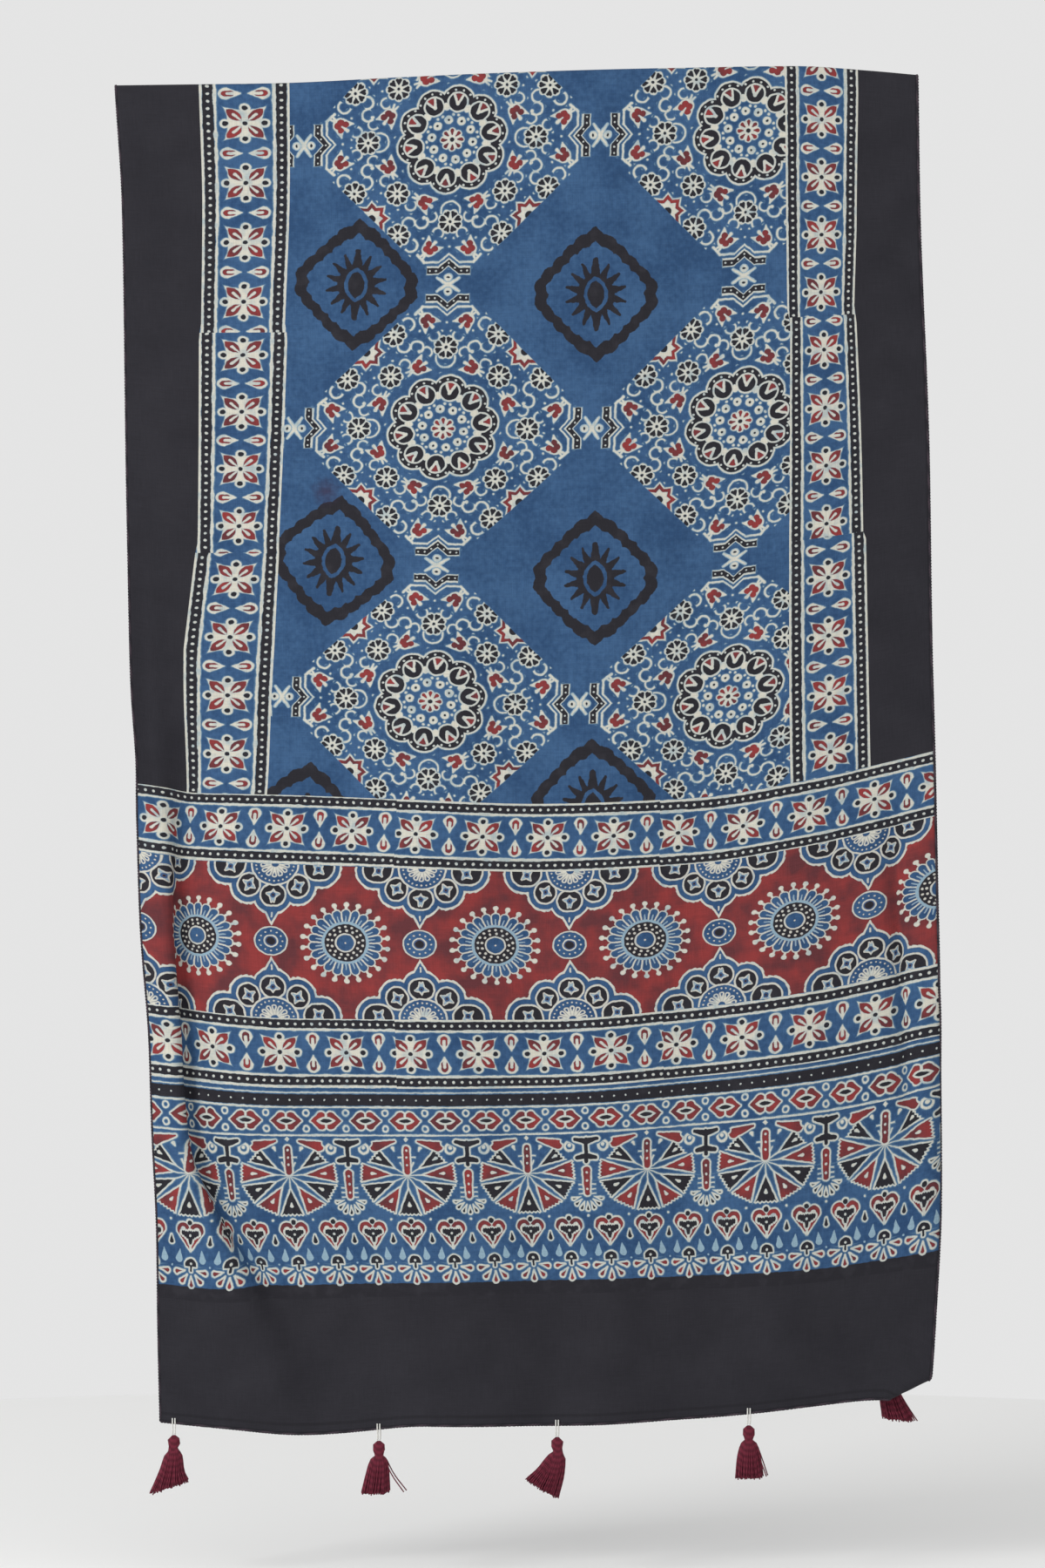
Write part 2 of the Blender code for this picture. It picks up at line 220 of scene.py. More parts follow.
def read(table, column, down):
    values = [getattr(row, column) for row in table]
    return float(smooth_curve([row.down for row in table], values, down))


def weft_height(across, down):
    """Height of the weft line at this distance down, at these places across."""
    downs = [line.down for line in WEFT_LINES]
    columns = zip(*(line.heights for line in WEFT_LINES))
    heights = [float(smooth_curve(downs, column, down)) for column in columns]
    return smooth_curve(STATIONS, heights, np.asarray(across) / CLOTH_WIDTH)


def turn_by(place, angle, width):
    """A turn that grows from nothing at a crest to the angle, in degrees, and dies away past the width."""
    t = place / width
    return math.radians(angle) * t * np.exp(0.5 - t * t) * math.sqrt(2)


def headings(down):
    """The cloth's heading in radians at the fine stations of a weft line. Above zero it goes to the back."""
    heading = np.zeros_like(FINE_STATIONS)
    for fold in FOLDS:
        place = FINE_STATIONS - read(fold, "across", down)
        before = turn_by(-place, read(fold, "before", down), read(fold, "before_width", down))
        after = turn_by(place, read(fold, "after", down), read(fold, "after_width", down))
        heading += np.where(place < 0, before, after)
    past = np.clip((FINE_STATIONS - (CLOTH_WIDTH - CURL_WIDTH)) / CURL_WIDTH, 0, 1)
    return heading + math.radians(read(RIGHT_CURL, "turn", down)) * past


def cross_section(down, follows=1.0):
    """One weft line's way across: its x and its depth at the fine stations, with the cloth's length kept."""
    heading = headings(down) * follows
    step = FINE_STATIONS[1] - FINE_STATIONS[0]
    along = (heading[1:] + heading[:-1]) / 2
    x = np.concatenate([[0.0], np.cumsum(np.cos(along)) * step])
    depth = np.concatenate([[0.0], np.cumsum(np.sin(along)) * step])
    left, right = read(EDGES, "left", down), read(EDGES, "right", down)
    x = left + (x - x.min()) * (right - left) / (x.max() - x.min())
    return x, depth - depth.mean()


def hanging_rows(places, downs, back=False):
    """Points of the surface beside which one half hangs.

    There is a row of them for each distance down, at that row's places across.
    """
    rows = []
    for across, down in zip(places, downs):
        settled = min(down / BACK_SETTLED, 1.0) if back else 0.0
        x, depth = cross_section(down, 1 - (1 - BACK_FOLLOWS) * settled)
        depth = depth + BACK_BEHIND * settled
        line = [np.interp(across, FINE_STATIONS, values) for values in (x, depth)]
        rows.append(np.column_stack([*line, weft_height(across, down)]))
    return np.array(rows)


def unit(vectors):
    return vectors / np.linalg.norm(vectors, axis=-1, keepdims=True)


def normals_of(points):
    """Unit normals of rows of points that go down the cloth, pointing to its back."""
    return unit(np.cross(np.gradient(points, axis=1), np.gradient(points, axis=0)))


def turn_corner(points):
    """Rolls what lies past the slanting line round to the back."""
    along = np.array([CORNER_LINE_ALONG[0], 0.0, CORNER_LINE_ALONG[1]])
    along /= np.linalg.norm(along)
    outward = np.array([-along[2], 0.0, along[0]])
    past = (points - (CORNER_LINE_POINT[0], 0.0, CORNER_LINE_POINT[1])) @ outward
    angle = np.clip(past / CORNER_ROLL_RADIUS, 0, math.pi)
    beyond = np.maximum(past - math.pi * CORNER_ROLL_RADIUS, 0)
    shift = np.where(past > 0, CORNER_ROLL_RADIUS * np.sin(angle) - beyond - past, 0)
    turned = points + shift[..., None] * outward
    turned[..., 1] += CORNER_ROLL_RADIUS * (1 - np.cos(angle))
    return turned


def front_half(places, downs):
    points = hanging_rows(places, downs)
    return turn_corner(points - FOLD_RADIUS * normals_of(points))


def back_half(places, downs):
    points = hanging_rows(places, downs, back=True)
    return points + FOLD_RADIUS * normals_of(points)


def fold_rows(across, cells):
    """The rows round the top fold, from the front half to the back half, without its two end rows."""
    points = hanging_rows([across, across], [0.0, HEM_SPAN])
    back = normals_of(points)[0]
    up = unit(points[0] - points[1])
    angles = np.linspace(0, math.pi, cells + 1)[1:-1]
    return np.array([points[0] + FOLD_RADIUS * (up * math.sin(a) - back * math.cos(a)) for a in angles])


def hem_frame(across):
    """The point of the front end's hem at this place, with the directions up the cloth and to its back."""
    near = across + HEM_SPAN * np.array([-1, 0, 1])
    points = front_half([near] * 3, FRONT_LENGTH + HEM_SPAN * np.array([-2, -1, 0]))
    return points[2, 1], unit(points[1, 1] - points[2, 1]), normals_of(points)[2, 1]


# ---------------------------------------------------------------- where each block of the print lies

# A side border's blocks, printed one below the other. Its two edges wander a little from block to block.
Edge = namedtuple("Edge", "down left right")
Block = namedtuple("Block", "end first_star pitch edges")
LEFT_BORDER = (
    Block(
        end=0.1785,
        first_star=0.02565,
        pitch=0.04342,
        edges=(Edge(0.002, 0.0595, 0.1246), Edge(0.103, 0.0570, 0.1196), Edge(0.175, 0.0548, 0.1152)),
    ),
    Block(
        end=0.3395,
        first_star=0.19490,
        pitch=0.04166,
        edges=(Edge(0.180, 0.0532, 0.1170), Edge(0.256, 0.0519, 0.1130), Edge(0.332, 0.0501, 0.1083)),
    ),
    Block(
        end=1.0,
        first_star=0.35850,
        pitch=0.04184,
        edges=(Edge(0.340, 0.0482, 0.1083), Edge(0.410, 0.0390, 0.1040), Edge(0.512, 0.0369, 0.0958)),
    ),
)
RIGHT_BORDER = (
    Block(
        end=0.1785,
        first_star=0.03520,
        pitch=0.04200,
        edges=(Edge(0.015, 0.4798, 0.5324), Edge(0.116, 0.4786, 0.5293), Edge(0.175, 0.4773, 0.5255)),
    ),
    Block(
        end=0.3395,
        first_star=0.20320,
        pitch=0.04220,
        edges=(Edge(0.181, 0.4792, 0.5268), Edge(0.242, 0.4767, 0.5271), Edge(0.340, 0.4742, 0.5274)),
    ),
    Block(
        end=1.0,
        first_star=0.36920,
        pitch=0.04200,
        edges=(Edge(0.342, 0.4742, 0.5293), Edge(0.431, 0.4730, 0.5299), Edge(0.500, 0.4717, 0.5293)),
    ),
)
# A star border's block is this wide, and its stars this far apart, in the block's own millimetres.
BORDER_WIDTH = 48.0
STAR_PITCH = 44.0

# The end border, from the field to the plain end. The hidden end's border starts this much higher up.
END_MARKS = (0.5123, 0.5599, 0.6635, 0.7110, 0.7439, 0.8550)
BORDER_ROW_1, ROSETTE_ROW, BORDER_ROW_2, CHAIN_ROW, FAN_ROW, PLAIN_END = END_MARKS
BACK_END_SHIFT = 0.0985
FIRST_STARS = {BORDER_ROW_1: 0.1575, BORDER_ROW_2: 0.1533}
ROW_STAR_PITCH = 0.0469
# The end border's blocks meet at these places across, and slip by some millimetres along it and across it.
Joint = namedtuple("Joint", "start along across")
JOINTS = (Joint(0.0, -0.8, 0.7), Joint(0.190, 0.0, 0.0), Joint(0.3775, 0.9, -0.6))
ROSETTE_AT, ROSETTE_PITCH = 0.1575, 0.1050
FAN_AT, FAN_PITCH = 0.1950, 0.0850

# The field's medallions. Each is half a cell high and wide of 100 units, so one cell of the lattice is 200.
FIRST_MEDALLION = (0.2395, 0.0430)
MEDALLIONS_APART = 0.2135
MEDALLION_DRIFT = 0.0119
MEDALLION_ROWS = (-0.7802, -0.5744, -0.3686, -0.1628, 0.0430, 0.2488, 0.4425, 0.6362)
CELL = 200.0
# Where each shield's middle is, and how many degrees it leans to the right.
Shield = namedtuple("Shield", "across down lean")
SHIELDS = (
    Shield(0.340, 0.1548, 1.0),
    Shield(0.335, 0.3544, 1.0),
    Shield(0.330, 0.5147, 0.5),
    Shield(0.1675, 0.1448, 4.7),
    Shield(0.1475, 0.3445, 8.0),
    Shield(0.1225, 0.5358, 6.5),
    Shield(0.345, -0.0580, 0.0),
    Shield(0.350, -0.2580, 0.0),
    Shield(0.355, -0.4580, 0.0),
    Shield(0.1850, -0.0600, 3.0),
    Shield(0.1950, -0.2600, 3.0),
)

# The mesh's rows and columns: how many cells lie between the marks that the print's blocks follow.
ROUND_LENGTH = math.pi * FOLD_RADIUS
FRONT_MARKS = (0.0, LEFT_BORDER[0].end, LEFT_BORDER[1].end, *END_MARKS, FRONT_LENGTH)
FRONT_CELLS = (28, 26, 32, 11, 24, 11, 8, 28, 40)
BACK_MARKS = (0.0, *(mark - BACK_END_SHIFT - ROUND_LENGTH for mark in END_MARKS), BACK_LENGTH)
BACK_CELLS = (34, 4, 8, 4, 3, 9, 8)
COLUMN_CELLS = (24, 26, 60, 14, 18)
ROUND_THE_FOLD = 8
# Of the five runs of columns, the first and the last are the plain margins.
FIELD = 2
SIDE_BORDERS = {1: LEFT_BORDER, 3: RIGHT_BORDER}
FINISHES = ("plain", "stars", "field", "rosettes", "chain", "fans")


def edges_at(edges, down):
    """The left and the right edge at this distance down."""
    places = [edge.down for edge in edges]
    sides = ([edge.left for edge in edges], [edge.right for edge in edges])
    return [np.interp(abs(down), places, side) for side in sides]


def border_edges(border, down):
    """A side border's edges as the mesh's columns follow them, right through the blocks' joints."""
    return edges_at([edge for block in border for edge in block.edges], down)


def spaced(marks, cells):
    """Places from the first mark to the last, with this many cells from each mark to the next."""
    runs = [np.linspace(a, b, n + 1)[:-1] for a, b, n in zip(marks, marks[1:], cells)]
    return np.concatenate([*runs, marks[-1:]])


FRONT_DOWNS = spaced(FRONT_MARKS, FRONT_CELLS)
BACK_DOWNS = spaced(BACK_MARKS, BACK_CELLS)


def column_places(down):
    marks = [0.0, *border_edges(LEFT_BORDER, down), *border_edges(RIGHT_BORDER, down), CLOTH_WIDTH]
    return spaced(marks, COLUMN_CELLS)


def from_border(border, across, down, middle):
    """Places in a side border's block, along it and across it."""
    block = next(block for block in border if abs(middle) < block.end)
    if middle < 0:
        block = block._replace(first_star=border[0].first_star, pitch=border[0].pitch)
    left, right = edges_at(block.edges, down)
    along = (down - block.first_star) / block.pitch * STAR_PITCH
    return along, ((across - left) / (right - left) - 0.5) * BORDER_WIDTH


def from_row(across, below, top, bottom):
    """Places in a row of the end border's stars."""
    joint = [joint for joint in JOINTS if joint.start <= across.min() + 0.001][-1]
    along = (across - FIRST_STARS[top]) / ROW_STAR_PITCH * STAR_PITCH
    return along + joint.along, ((below - top) / (bottom - top) - 0.5) * BORDER_WIDTH + joint.across


def from_field(across, down):
    """Places in the field's lattice of medallions, in its units."""
    rows = np.arange(len(MEDALLION_ROWS)) - MEDALLION_ROWS.index(FIRST_MEDALLION[1])
    row = np.interp(down, MEDALLION_ROWS, rows)
    start = FIRST_MEDALLION[0] - MEDALLION_DRIFT * row
    return (across - start) / MEDALLIONS_APART * CELL, row * CELL


def print_at(across, down, section):
    """The finish of one face, and its corners' places in that finish's own block."""
    middle = down.mean()
    below = down if middle >= 0 else BACK_END_SHIFT - down
    height = below.mean()
    if height > PLAIN_END:
        return "plain", across * 1000, below * 1000
    if height > FAN_ROW:
        return "fans", (across - FAN_AT) * 1000, (below - FAN_ROW) * 1000
    if height > CHAIN_ROW:
        return "chain", (across - FAN_AT) * 1000, (below - CHAIN_ROW) * 1000
    if height > BORDER_ROW_2:
        return "stars", *from_row(across, below, BORDER_ROW_2, CHAIN_ROW)
    if height > ROSETTE_ROW:
        return "rosettes", (across - ROSETTE_AT) * 1000, (below - (ROSETTE_ROW + BORDER_ROW_2) / 2) * 1000
    if height > BORDER_ROW_1:
        return "stars", *from_row(across, below, BORDER_ROW_1, ROSETTE_ROW)
    if section == FIELD:
        return "field", *from_field(across, down)
    if section in SIDE_BORDERS:
        return "stars", *from_border(SIDE_BORDERS[section], across, down, middle)
    return "plain", across * 1000, down * 1000


def print_maps(across, down):
    """For each quad of the grid, its finish and its corners' places: in the block, by a shield and flat."""
    sections = np.repeat(np.arange(len(COLUMN_CELLS)), COLUMN_CELLS)
    rows, columns = across.shape[0] - 1, across.shape[1] - 1
    corners = [(0, 0), (0, 1), (1, 1), (1, 0)]
    u = np.stack([across[a : a + rows, b : b + columns] for a, b in corners], axis=-1)
    v = np.stack([down[a : a + rows, b : b + columns] for a, b in corners], axis=-1)
    finish = np.zeros((rows, columns), int)
    block = np.zeros((rows, columns, 4, 2))
    for r in range(rows):
        for c in range(columns):
            name, x, y = print_at(u[r, c], v[r, c], sections[c])
            finish[r, c] = FINISHES.index(name)
            block[r, c, :, 0], block[r, c, :, 1] = x, y
    middle = np.stack([u.mean(axis=-1), v.mean(axis=-1)], axis=-1)
    shields = np.array(SHIELDS)
    away = ((middle[:, :, None] - shields[:, :2]) ** 2).sum(axis=-1)
    nearest = shields[away.argmin(axis=-1)][:, :, None]
    x, y, lean = (u - nearest[..., 0]) * 1000, (v - nearest[..., 1]) * 1000, np.radians(nearest[..., 2])
    shield = np.stack([x * np.cos(lean) + y * np.sin(lean), y * np.cos(lean) - x * np.sin(lean)], axis=-1)
    return finish, {"print": block, "shield": shield, "flat": np.stack([u, v], axis=-1)}


# The strips that the front and the back take up in one image of the whole sheet, with a margin round each.
OUTSIDE_STRIPS = ((0.0, 0.64), (0.65, 0.89))
INSIDE_STRIPS = ((0.90, 0.945), (0.955, 1.0))
STRIP_MARGIN = 0.005


def picture_map(flat, strips):
    """Where each face's corners lie in one image of the whole sheet."""
    front = flat[..., 1].mean(axis=-1, keepdims=True) >= 0
    low, high = (np.where(front, *ends) for ends in zip(*strips))
    length = np.where(front, FRONT_LENGTH, BACK_LENGTH)
    across, down = flat[..., 0] / CLOTH_WIDTH, np.clip(np.abs(flat[..., 1]) / length, 0, 1)
    inner = 1 - 2 * STRIP_MARGIN
    x = low + (high - low) * (STRIP_MARGIN + inner * across)
    return np.stack([x, 1 - STRIP_MARGIN - inner * down], axis=-1)


def add_object(name, data):
    made = bpy.data.objects.new(name, data)
    bpy.context.scene.collection.objects.link(made)
    return made


def set_map(mesh, name, parts):
    values = np.concatenate([part.reshape(-1, 2) for part in parts])
    mesh.uv_layers.new(name=name).uv.foreach_set("vector", values.astype(np.float32).ravel())


def make_cloth(finishes):
    """The whole stole as one thin closed solid: up the front, round the fold and down the back."""
    front_across = [column_places(down) for down in FRONT_DOWNS]
    back_across = [column_places(down) for down in BACK_DOWNS]
    round_downs = np.linspace(0, -ROUND_LENGTH, ROUND_THE_FOLD + 1)[1:-1]
    front = front_half(front_across, FRONT_DOWNS)[::-1]
    top = fold_rows(front_across[0], ROUND_THE_FOLD)
    middle = np.concatenate([front, top, back_half(back_across, BACK_DOWNS)])
    across = np.concatenate([front_across[::-1], [front_across[0]] * len(round_downs), back_across])
    down = np.concatenate([FRONT_DOWNS[::-1], round_downs, -ROUND_LENGTH - BACK_DOWNS])[:, None] + 0 * across
    outward = CLOTH_THICKNESS / 2 * normals_of(middle)
    points = np.concatenate([middle + outward, middle - outward]).reshape(-1, 3)

    count = across.size
    index = np.arange(count).reshape(across.shape)
    outer = np.stack([index[:-1, :-1], index[:-1, 1:], index[1:, 1:], index[1:, :-1]], axis=-1)
    inner = outer[..., ::-1] + count
    rim = np.concatenate([index[0, ::-1], index[1:, 0], index[-1, 1:], index[::-1, -1][1:]])
    edge = np.stack([rim[:-1], rim[1:], rim[1:] + count, rim[:-1] + count], axis=-1)
    faces = np.concatenate([outer.reshape(-1, 4), inner.reshape(-1, 4), edge])
    mesh = bpy.data.meshes.new("stole")
    mesh.from_pydata(points.tolist(), [], faces.tolist())
    mesh.shade_smooth()

    finish, maps = print_maps(across, down)
    rim_finish = np.full(len(edge), FINISHES.index("plain"))
    mesh.polygons.foreach_set("material_index", np.concatenate([finish.ravel(), finish.ravel(), rim_finish]))
    for finish_material in finishes:
        mesh.materials.append(finish_material)
    flat = maps["flat"]
    rim_flat = np.stack([across, down], axis=-1).reshape(-1, 2)[edge % count]
    for name, corners in maps.items():
        rim_places = rim_flat if name == "flat" else rim_flat * 1000
        set_map(mesh, name, [corners, corners[:, :, ::-1], rim_places])
    outside, inside = picture_map(flat, OUTSIDE_STRIPS), picture_map(flat, INSIDE_STRIPS)
    set_map(mesh, "OFBake", [outside, inside[:, :, ::-1], picture_map(rim_flat, OUTSIDE_STRIPS)])
    mesh.validate()
    return add_object("stole", mesh)


# ---------------------------------------------------------------- numbers and places made of shader nodes


class Building:
    """The node tree that is being built."""

    tree = None


def add_node(kind, **settings):
    made = Building.tree.nodes.new(kind)
    for name, value in settings.items():
        setattr(made, name, value)
    return made


def feed(socket, value):
    if isinstance(value, Varying):
        Building.tree.links.new(value.socket, socket)
    elif isinstance(value, bpy.types.NodeSocket):
        Building.tree.links.new(value, socket)
    elif isinstance(value, tuple) and len(value) == 2:
        socket.default_value = (*value, 0.0)
    else:
        socket.default_value = value


def maths(operation, *values, clamp=False):
    made = add_node("ShaderNodeMath", operation=operation, use_clamp=clamp)
    for socket, value in zip(made.inputs, values):
        feed(socket, value)
    return Amount(made.outputs[0])


def vector_maths(operation, *values, scale=None):
    made = add_node("ShaderNodeVectorMath", operation=operation)
    for socket, value in zip(made.inputs, values):
        feed(socket, value)
    if scale is not None:
        feed(made.inputs["Scale"], scale)
    single = operation in ("DISTANCE", "LENGTH", "DOT_PRODUCT")
    return Amount(made.outputs["Value"]) if single else Spot(made.outputs["Vector"])


class Varying:
    """What varies over the cloth, as the socket of a node that gives it."""

    def __init__(self, socket):
        self.socket = socket

    def __add__(self, other):
        return self.work_out("ADD", self, other)

    def __sub__(self, other):
        return self.work_out("SUBTRACT", self, other)

    def __mul__(self, other):
        return self.work_out("MULTIPLY", self, other)

    def __abs__(self):
        return self.work_out("ABSOLUTE", self)

    __radd__ = __add__
    __rmul__ = __mul__


class Amount(Varying):
    """A number, mostly a distance in millimetres."""

    work_out = staticmethod(maths)

    def __rsub__(self, other):
        return maths("SUBTRACT", other, self)

    def __neg__(self):
        return maths("MULTIPLY", self, -1.0)

    def times_plus(self, factor, shift, clamp=False):
        return maths("MULTIPLY_ADD", self, factor, shift, clamp=clamp)

    def wrapped(self, pitch):
        return maths("WRAP", self, pitch / 2, -pitch / 2)


class Spot(Varying):
    """A place: x across the block and y down it."""

    work_out = staticmethod(vector_maths)
    parts = None

    def split(self):
        if self.parts is None:
            made = add_node("ShaderNodeSeparateXYZ")
            feed(made.inputs[0], self)
            self.parts = Amount(made.outputs[0]), Amount(made.outputs[1])
        return self.parts

    @property
    def x(self):
        return self.split()[0]

    @property
    def y(self):
        return self.split()[1]

    def length(self):
        return vector_maths("LENGTH", self)

    def towards(self, direction):
        return vector_maths("DOT_PRODUCT", self, direction)

    def scaled(self, factor):
        return vector_maths("SCALE", self, scale=factor)

    def wrapped(self, across, down):
        return vector_maths("WRAP", self, (across / 2, down / 2, 1.0), (-across / 2, -down / 2, -1.0))


def spot(x, y):
    made = add_node("ShaderNodeCombineXYZ")
    feed(made.inputs[0], x)
    feed(made.inputs[1], y)
    return Spot(made.outputs[0])


def least(*values):
    return reduce(lambda a, b: maths("MINIMUM", a, b), values)


def most(*values):
    return reduce(lambda a, b: maths("MAXIMUM", a, b), values)


def upright(place):
    """The place with its x and y swapped."""
    return spot(place.y, place.x)


def halved(place):
    """The place folded over the line x = 0."""
    return spot(abs(place.x), place.y)


def turned(place, direction):
    """The place seen along this direction: x along it and y beside it."""
    length = math.hypot(*direction)
    x, y = direction[0] / length, direction[1] / length
    return spot(place.towards((x, y)), place.towards((-y, x)))


def at_angle(place, angle):
    """A place as far out as this one, at an angle in radians from y."""
    return spot(maths("SINE", angle), maths("COSINE", angle)).scaled(place.length())


def round_a_centre(place, count, start=0.0):
    """Folds the place into one of `count` equal sectors, the first at `start` degrees, with y outwards."""
    angle = maths("ARCTAN2", place.x, place.y)
    if start:
        angle = angle - math.radians(start)
    return at_angle(place, angle.wrapped(2 * math.pi / count))


def mirrored(place, drawn, other):
    """Folds the place so that what is drawn at one spot shows at the other too."""
    middle = ((drawn[0] + other[0]) / 2, (drawn[1] + other[1]) / 2)
    length = math.dist(drawn, other)
    x, y = (drawn[0] - other[0]) / length, (drawn[1] - other[1]) / length
    beyond = maths("MINIMUM", place.towards((x, y)) - (middle[0] * x + middle[1] * y), 0.0)
    return place + vector_maths("SCALE", (-2 * x, -2 * y), scale=beyond)


# Shapes, as signed distances.


def disc(place, at, radius):
    return vector_maths("DISTANCE", place, at) - radius


def dots(place, radius, *centres):
    return least(*(disc(place, centre, radius) for centre in centres))


def hoop(place, at, radius, half_width):
    return abs(disc(place, at, radius)) - half_width


def band(amount, middle, half_width):
    """A stripe across which this amount runs."""
    return abs(amount - middle) - half_width


def bar(place, low, high, radius):
    """A bar along x or y, or a box, with round ends, between its lower and its higher corner."""
    nearest = vector_maths("MINIMUM", vector_maths("MAXIMUM", place, low), high)
    return vector_maths("DISTANCE", place, nearest) - radius


def stroke(place, start, end, radius, end_radius=None):
    """A straight stroke from start to end, which may taper."""
    across, down = end[0] - start[0], end[1] - start[1]
    square = across**2 + down**2
    along = place.towards((across / square, down / square))
    share = maths("SUBTRACT", along, (start[0] * across + start[1] * down) / square, clamp=True)
    nearest = vector_maths("SCALE", (across, down), scale=share)
    gap = vector_maths("DISTANCE", place - start, nearest)
    if end_radius is None:
        return gap - radius
    return gap - share.times_plus(end_radius - radius, radius)


def ray(place, low, high, radius, end_radius=None):
    """A stroke along y."""
    return stroke(place, (0.0, low), (0.0, high), radius, end_radius)


def leaf(place, at, half_width, half_length):
    """A leaf with a point at both ends of y."""
    radius = (half_width**2 + half_length**2) / (2 * half_width)
    return disc(abs(place - at), (half_width - radius, 0.0), radius)


def arc(place, at, radius, half_width, side, beyond=0.0):
    """The part of a hoop that lies on one side of its centre."""
    length = math.hypot(*side)
    x, y = side[0] / length, side[1] / length
    edge = at[0] * x + at[1] * y + beyond
    return most(hoop(place, at, radius, half_width), edge - place.towards((x, y)))


class Inks:
    """How far each place is from each ink. The ground's own dye is what no ink covers.

    Where the block is worn, `wear` is near 0 and the printed lines are thin.
    """

    def __init__(self, wear):
        self.reach = {}
        self.wear = wear

    def lay(self, ink, *shapes):
        """Prints shapes over what is there. The ink "ground" bares the ground again."""
        shape = least(*shapes)
        outside = None
        for other, reach in self.reach.items():
            if other != ink:
                outside = outside or -shape
                self.reach[other] = most(reach, outside)
        if ink != "ground":
            self.reach[ink] = least(self.reach[ink], shape) if ink in self.reach else shape

    bare = partialmethod(lay, "ground")
    cream = partialmethod(lay, "cream")
    black = partialmethod(lay, "black")
    red = partialmethod(lay, "red")
    blue = partialmethod(lay, "blue")
    pale = partialmethod(lay, "pale")

    def keep(self, shape):
        """Keeps only what lies inside a shape."""
        self.reach = {ink: most(reach, shape) for ink, reach in self.reach.items()}


# ---------------------------------------------------------------- the motifs, in each block's own millimetres


def folded_eighth(x, y):
    """The place in one eighth of what is alike all round: its larger distance, then its smaller."""
    return spot(most(x, y), least(x, y))


def draw_stars(inks, place):
    """A star border along x: stars, pairs of drops between them, and a dotted strip on each side."""
    along, beside = place.x, abs(place.y)
    inks.cream(band(beside, 23.4, inks.wear * 0.95))
    inks.black(band(beside, 19.6, 2.95))
    inks.cream(spot(along.wrapped(STAR_PITCH / 8), beside - 19.6).length() - 0.95)
    inks.cream(band(beside, 15.8, inks.wear * 0.85))
    # the star
    repeat = abs(along.wrapped(STAR_PITCH))
    star = folded_eighth(repeat * 0.97, beside * 1.04)
    inks.cream(star.x - (star.y * star.y).times_plus(0.016, 9.6), disc(star, (11.0, 0.0), 3.2))
    slanted = turned(star, (1.0, 1.0))
    inks.red(leaf(upright(slanted), (0.0, 8.6), 3.1, 5.9))
    inks.cream(stroke(slanted, (3.4, 0.0), (9.0, 0.0), 0.5, 0.95))
    inks.black(star.length() - 1.5, disc(star, (11.0, 0.0), 1.75))
    # the pair of drops, tip to tip
    drop = spot(beside, STAR_PITCH / 2 - repeat)
    inks.cream(stroke(drop, (2.2, 0.0), (9.4, 0.0), 0.5, 4.5))
    inks.red(most(bar(drop, (7.6, 0.0), (10.2, 0.0), 2.3), -bar(drop, (4.0, 0.0), (9.0, 0.0), 1.05)))


WHEELS = ((36.3, 36.3), (56.6, 0.0), (65.5, 35.0))
BELLS = ((43.0, 17.2), (74.6, 12.7))
MEDALLION_REACH = 42.4
HALF_STAR_OUT = 75.3
# A diamond's edge, as far plus near, and how far out its tips are cut off.
DIAMOND, TIP = 106.5, 91.0


def draw_wheel(inks, place, bound):
    """A wheel of eight black hearts, which stays inside the bound."""
    petal = round_a_centre(place, 8)
    inks.cream(most(least(place.length() - 7.6, disc(petal, (0.0, 6.0), 2.75)), bound))
    inks.black(most(stroke(halved(petal), (0.1, 3.1), (0.9, 6.2), 0.3, 1.2), bound))
    inks.black(place.length() - 1.1)


def draw_bell(inks, place):
    """A red bell in a cream outline, which opens along x."""
    half = spot(place.x, abs(place.y))
    inks.cream(
        disc(half, (-1.4, 0.0), 5.0),
        stroke(half, (-1.0, 1.6), (5.4, 6.2), 3.8, 0.5),
        stroke(half, (-4.0, 0.0), (-9.4, 1.4), 1.1, 0.6),
    )
    inks.red(disc(half, (-2.0, 1.4), 2.5), disc(half, (1.5, 2.6), 2.2))
    inks.cream(stroke(half, (0.0, 0.0), (5.0, 0.0), 0.3, 1.3))


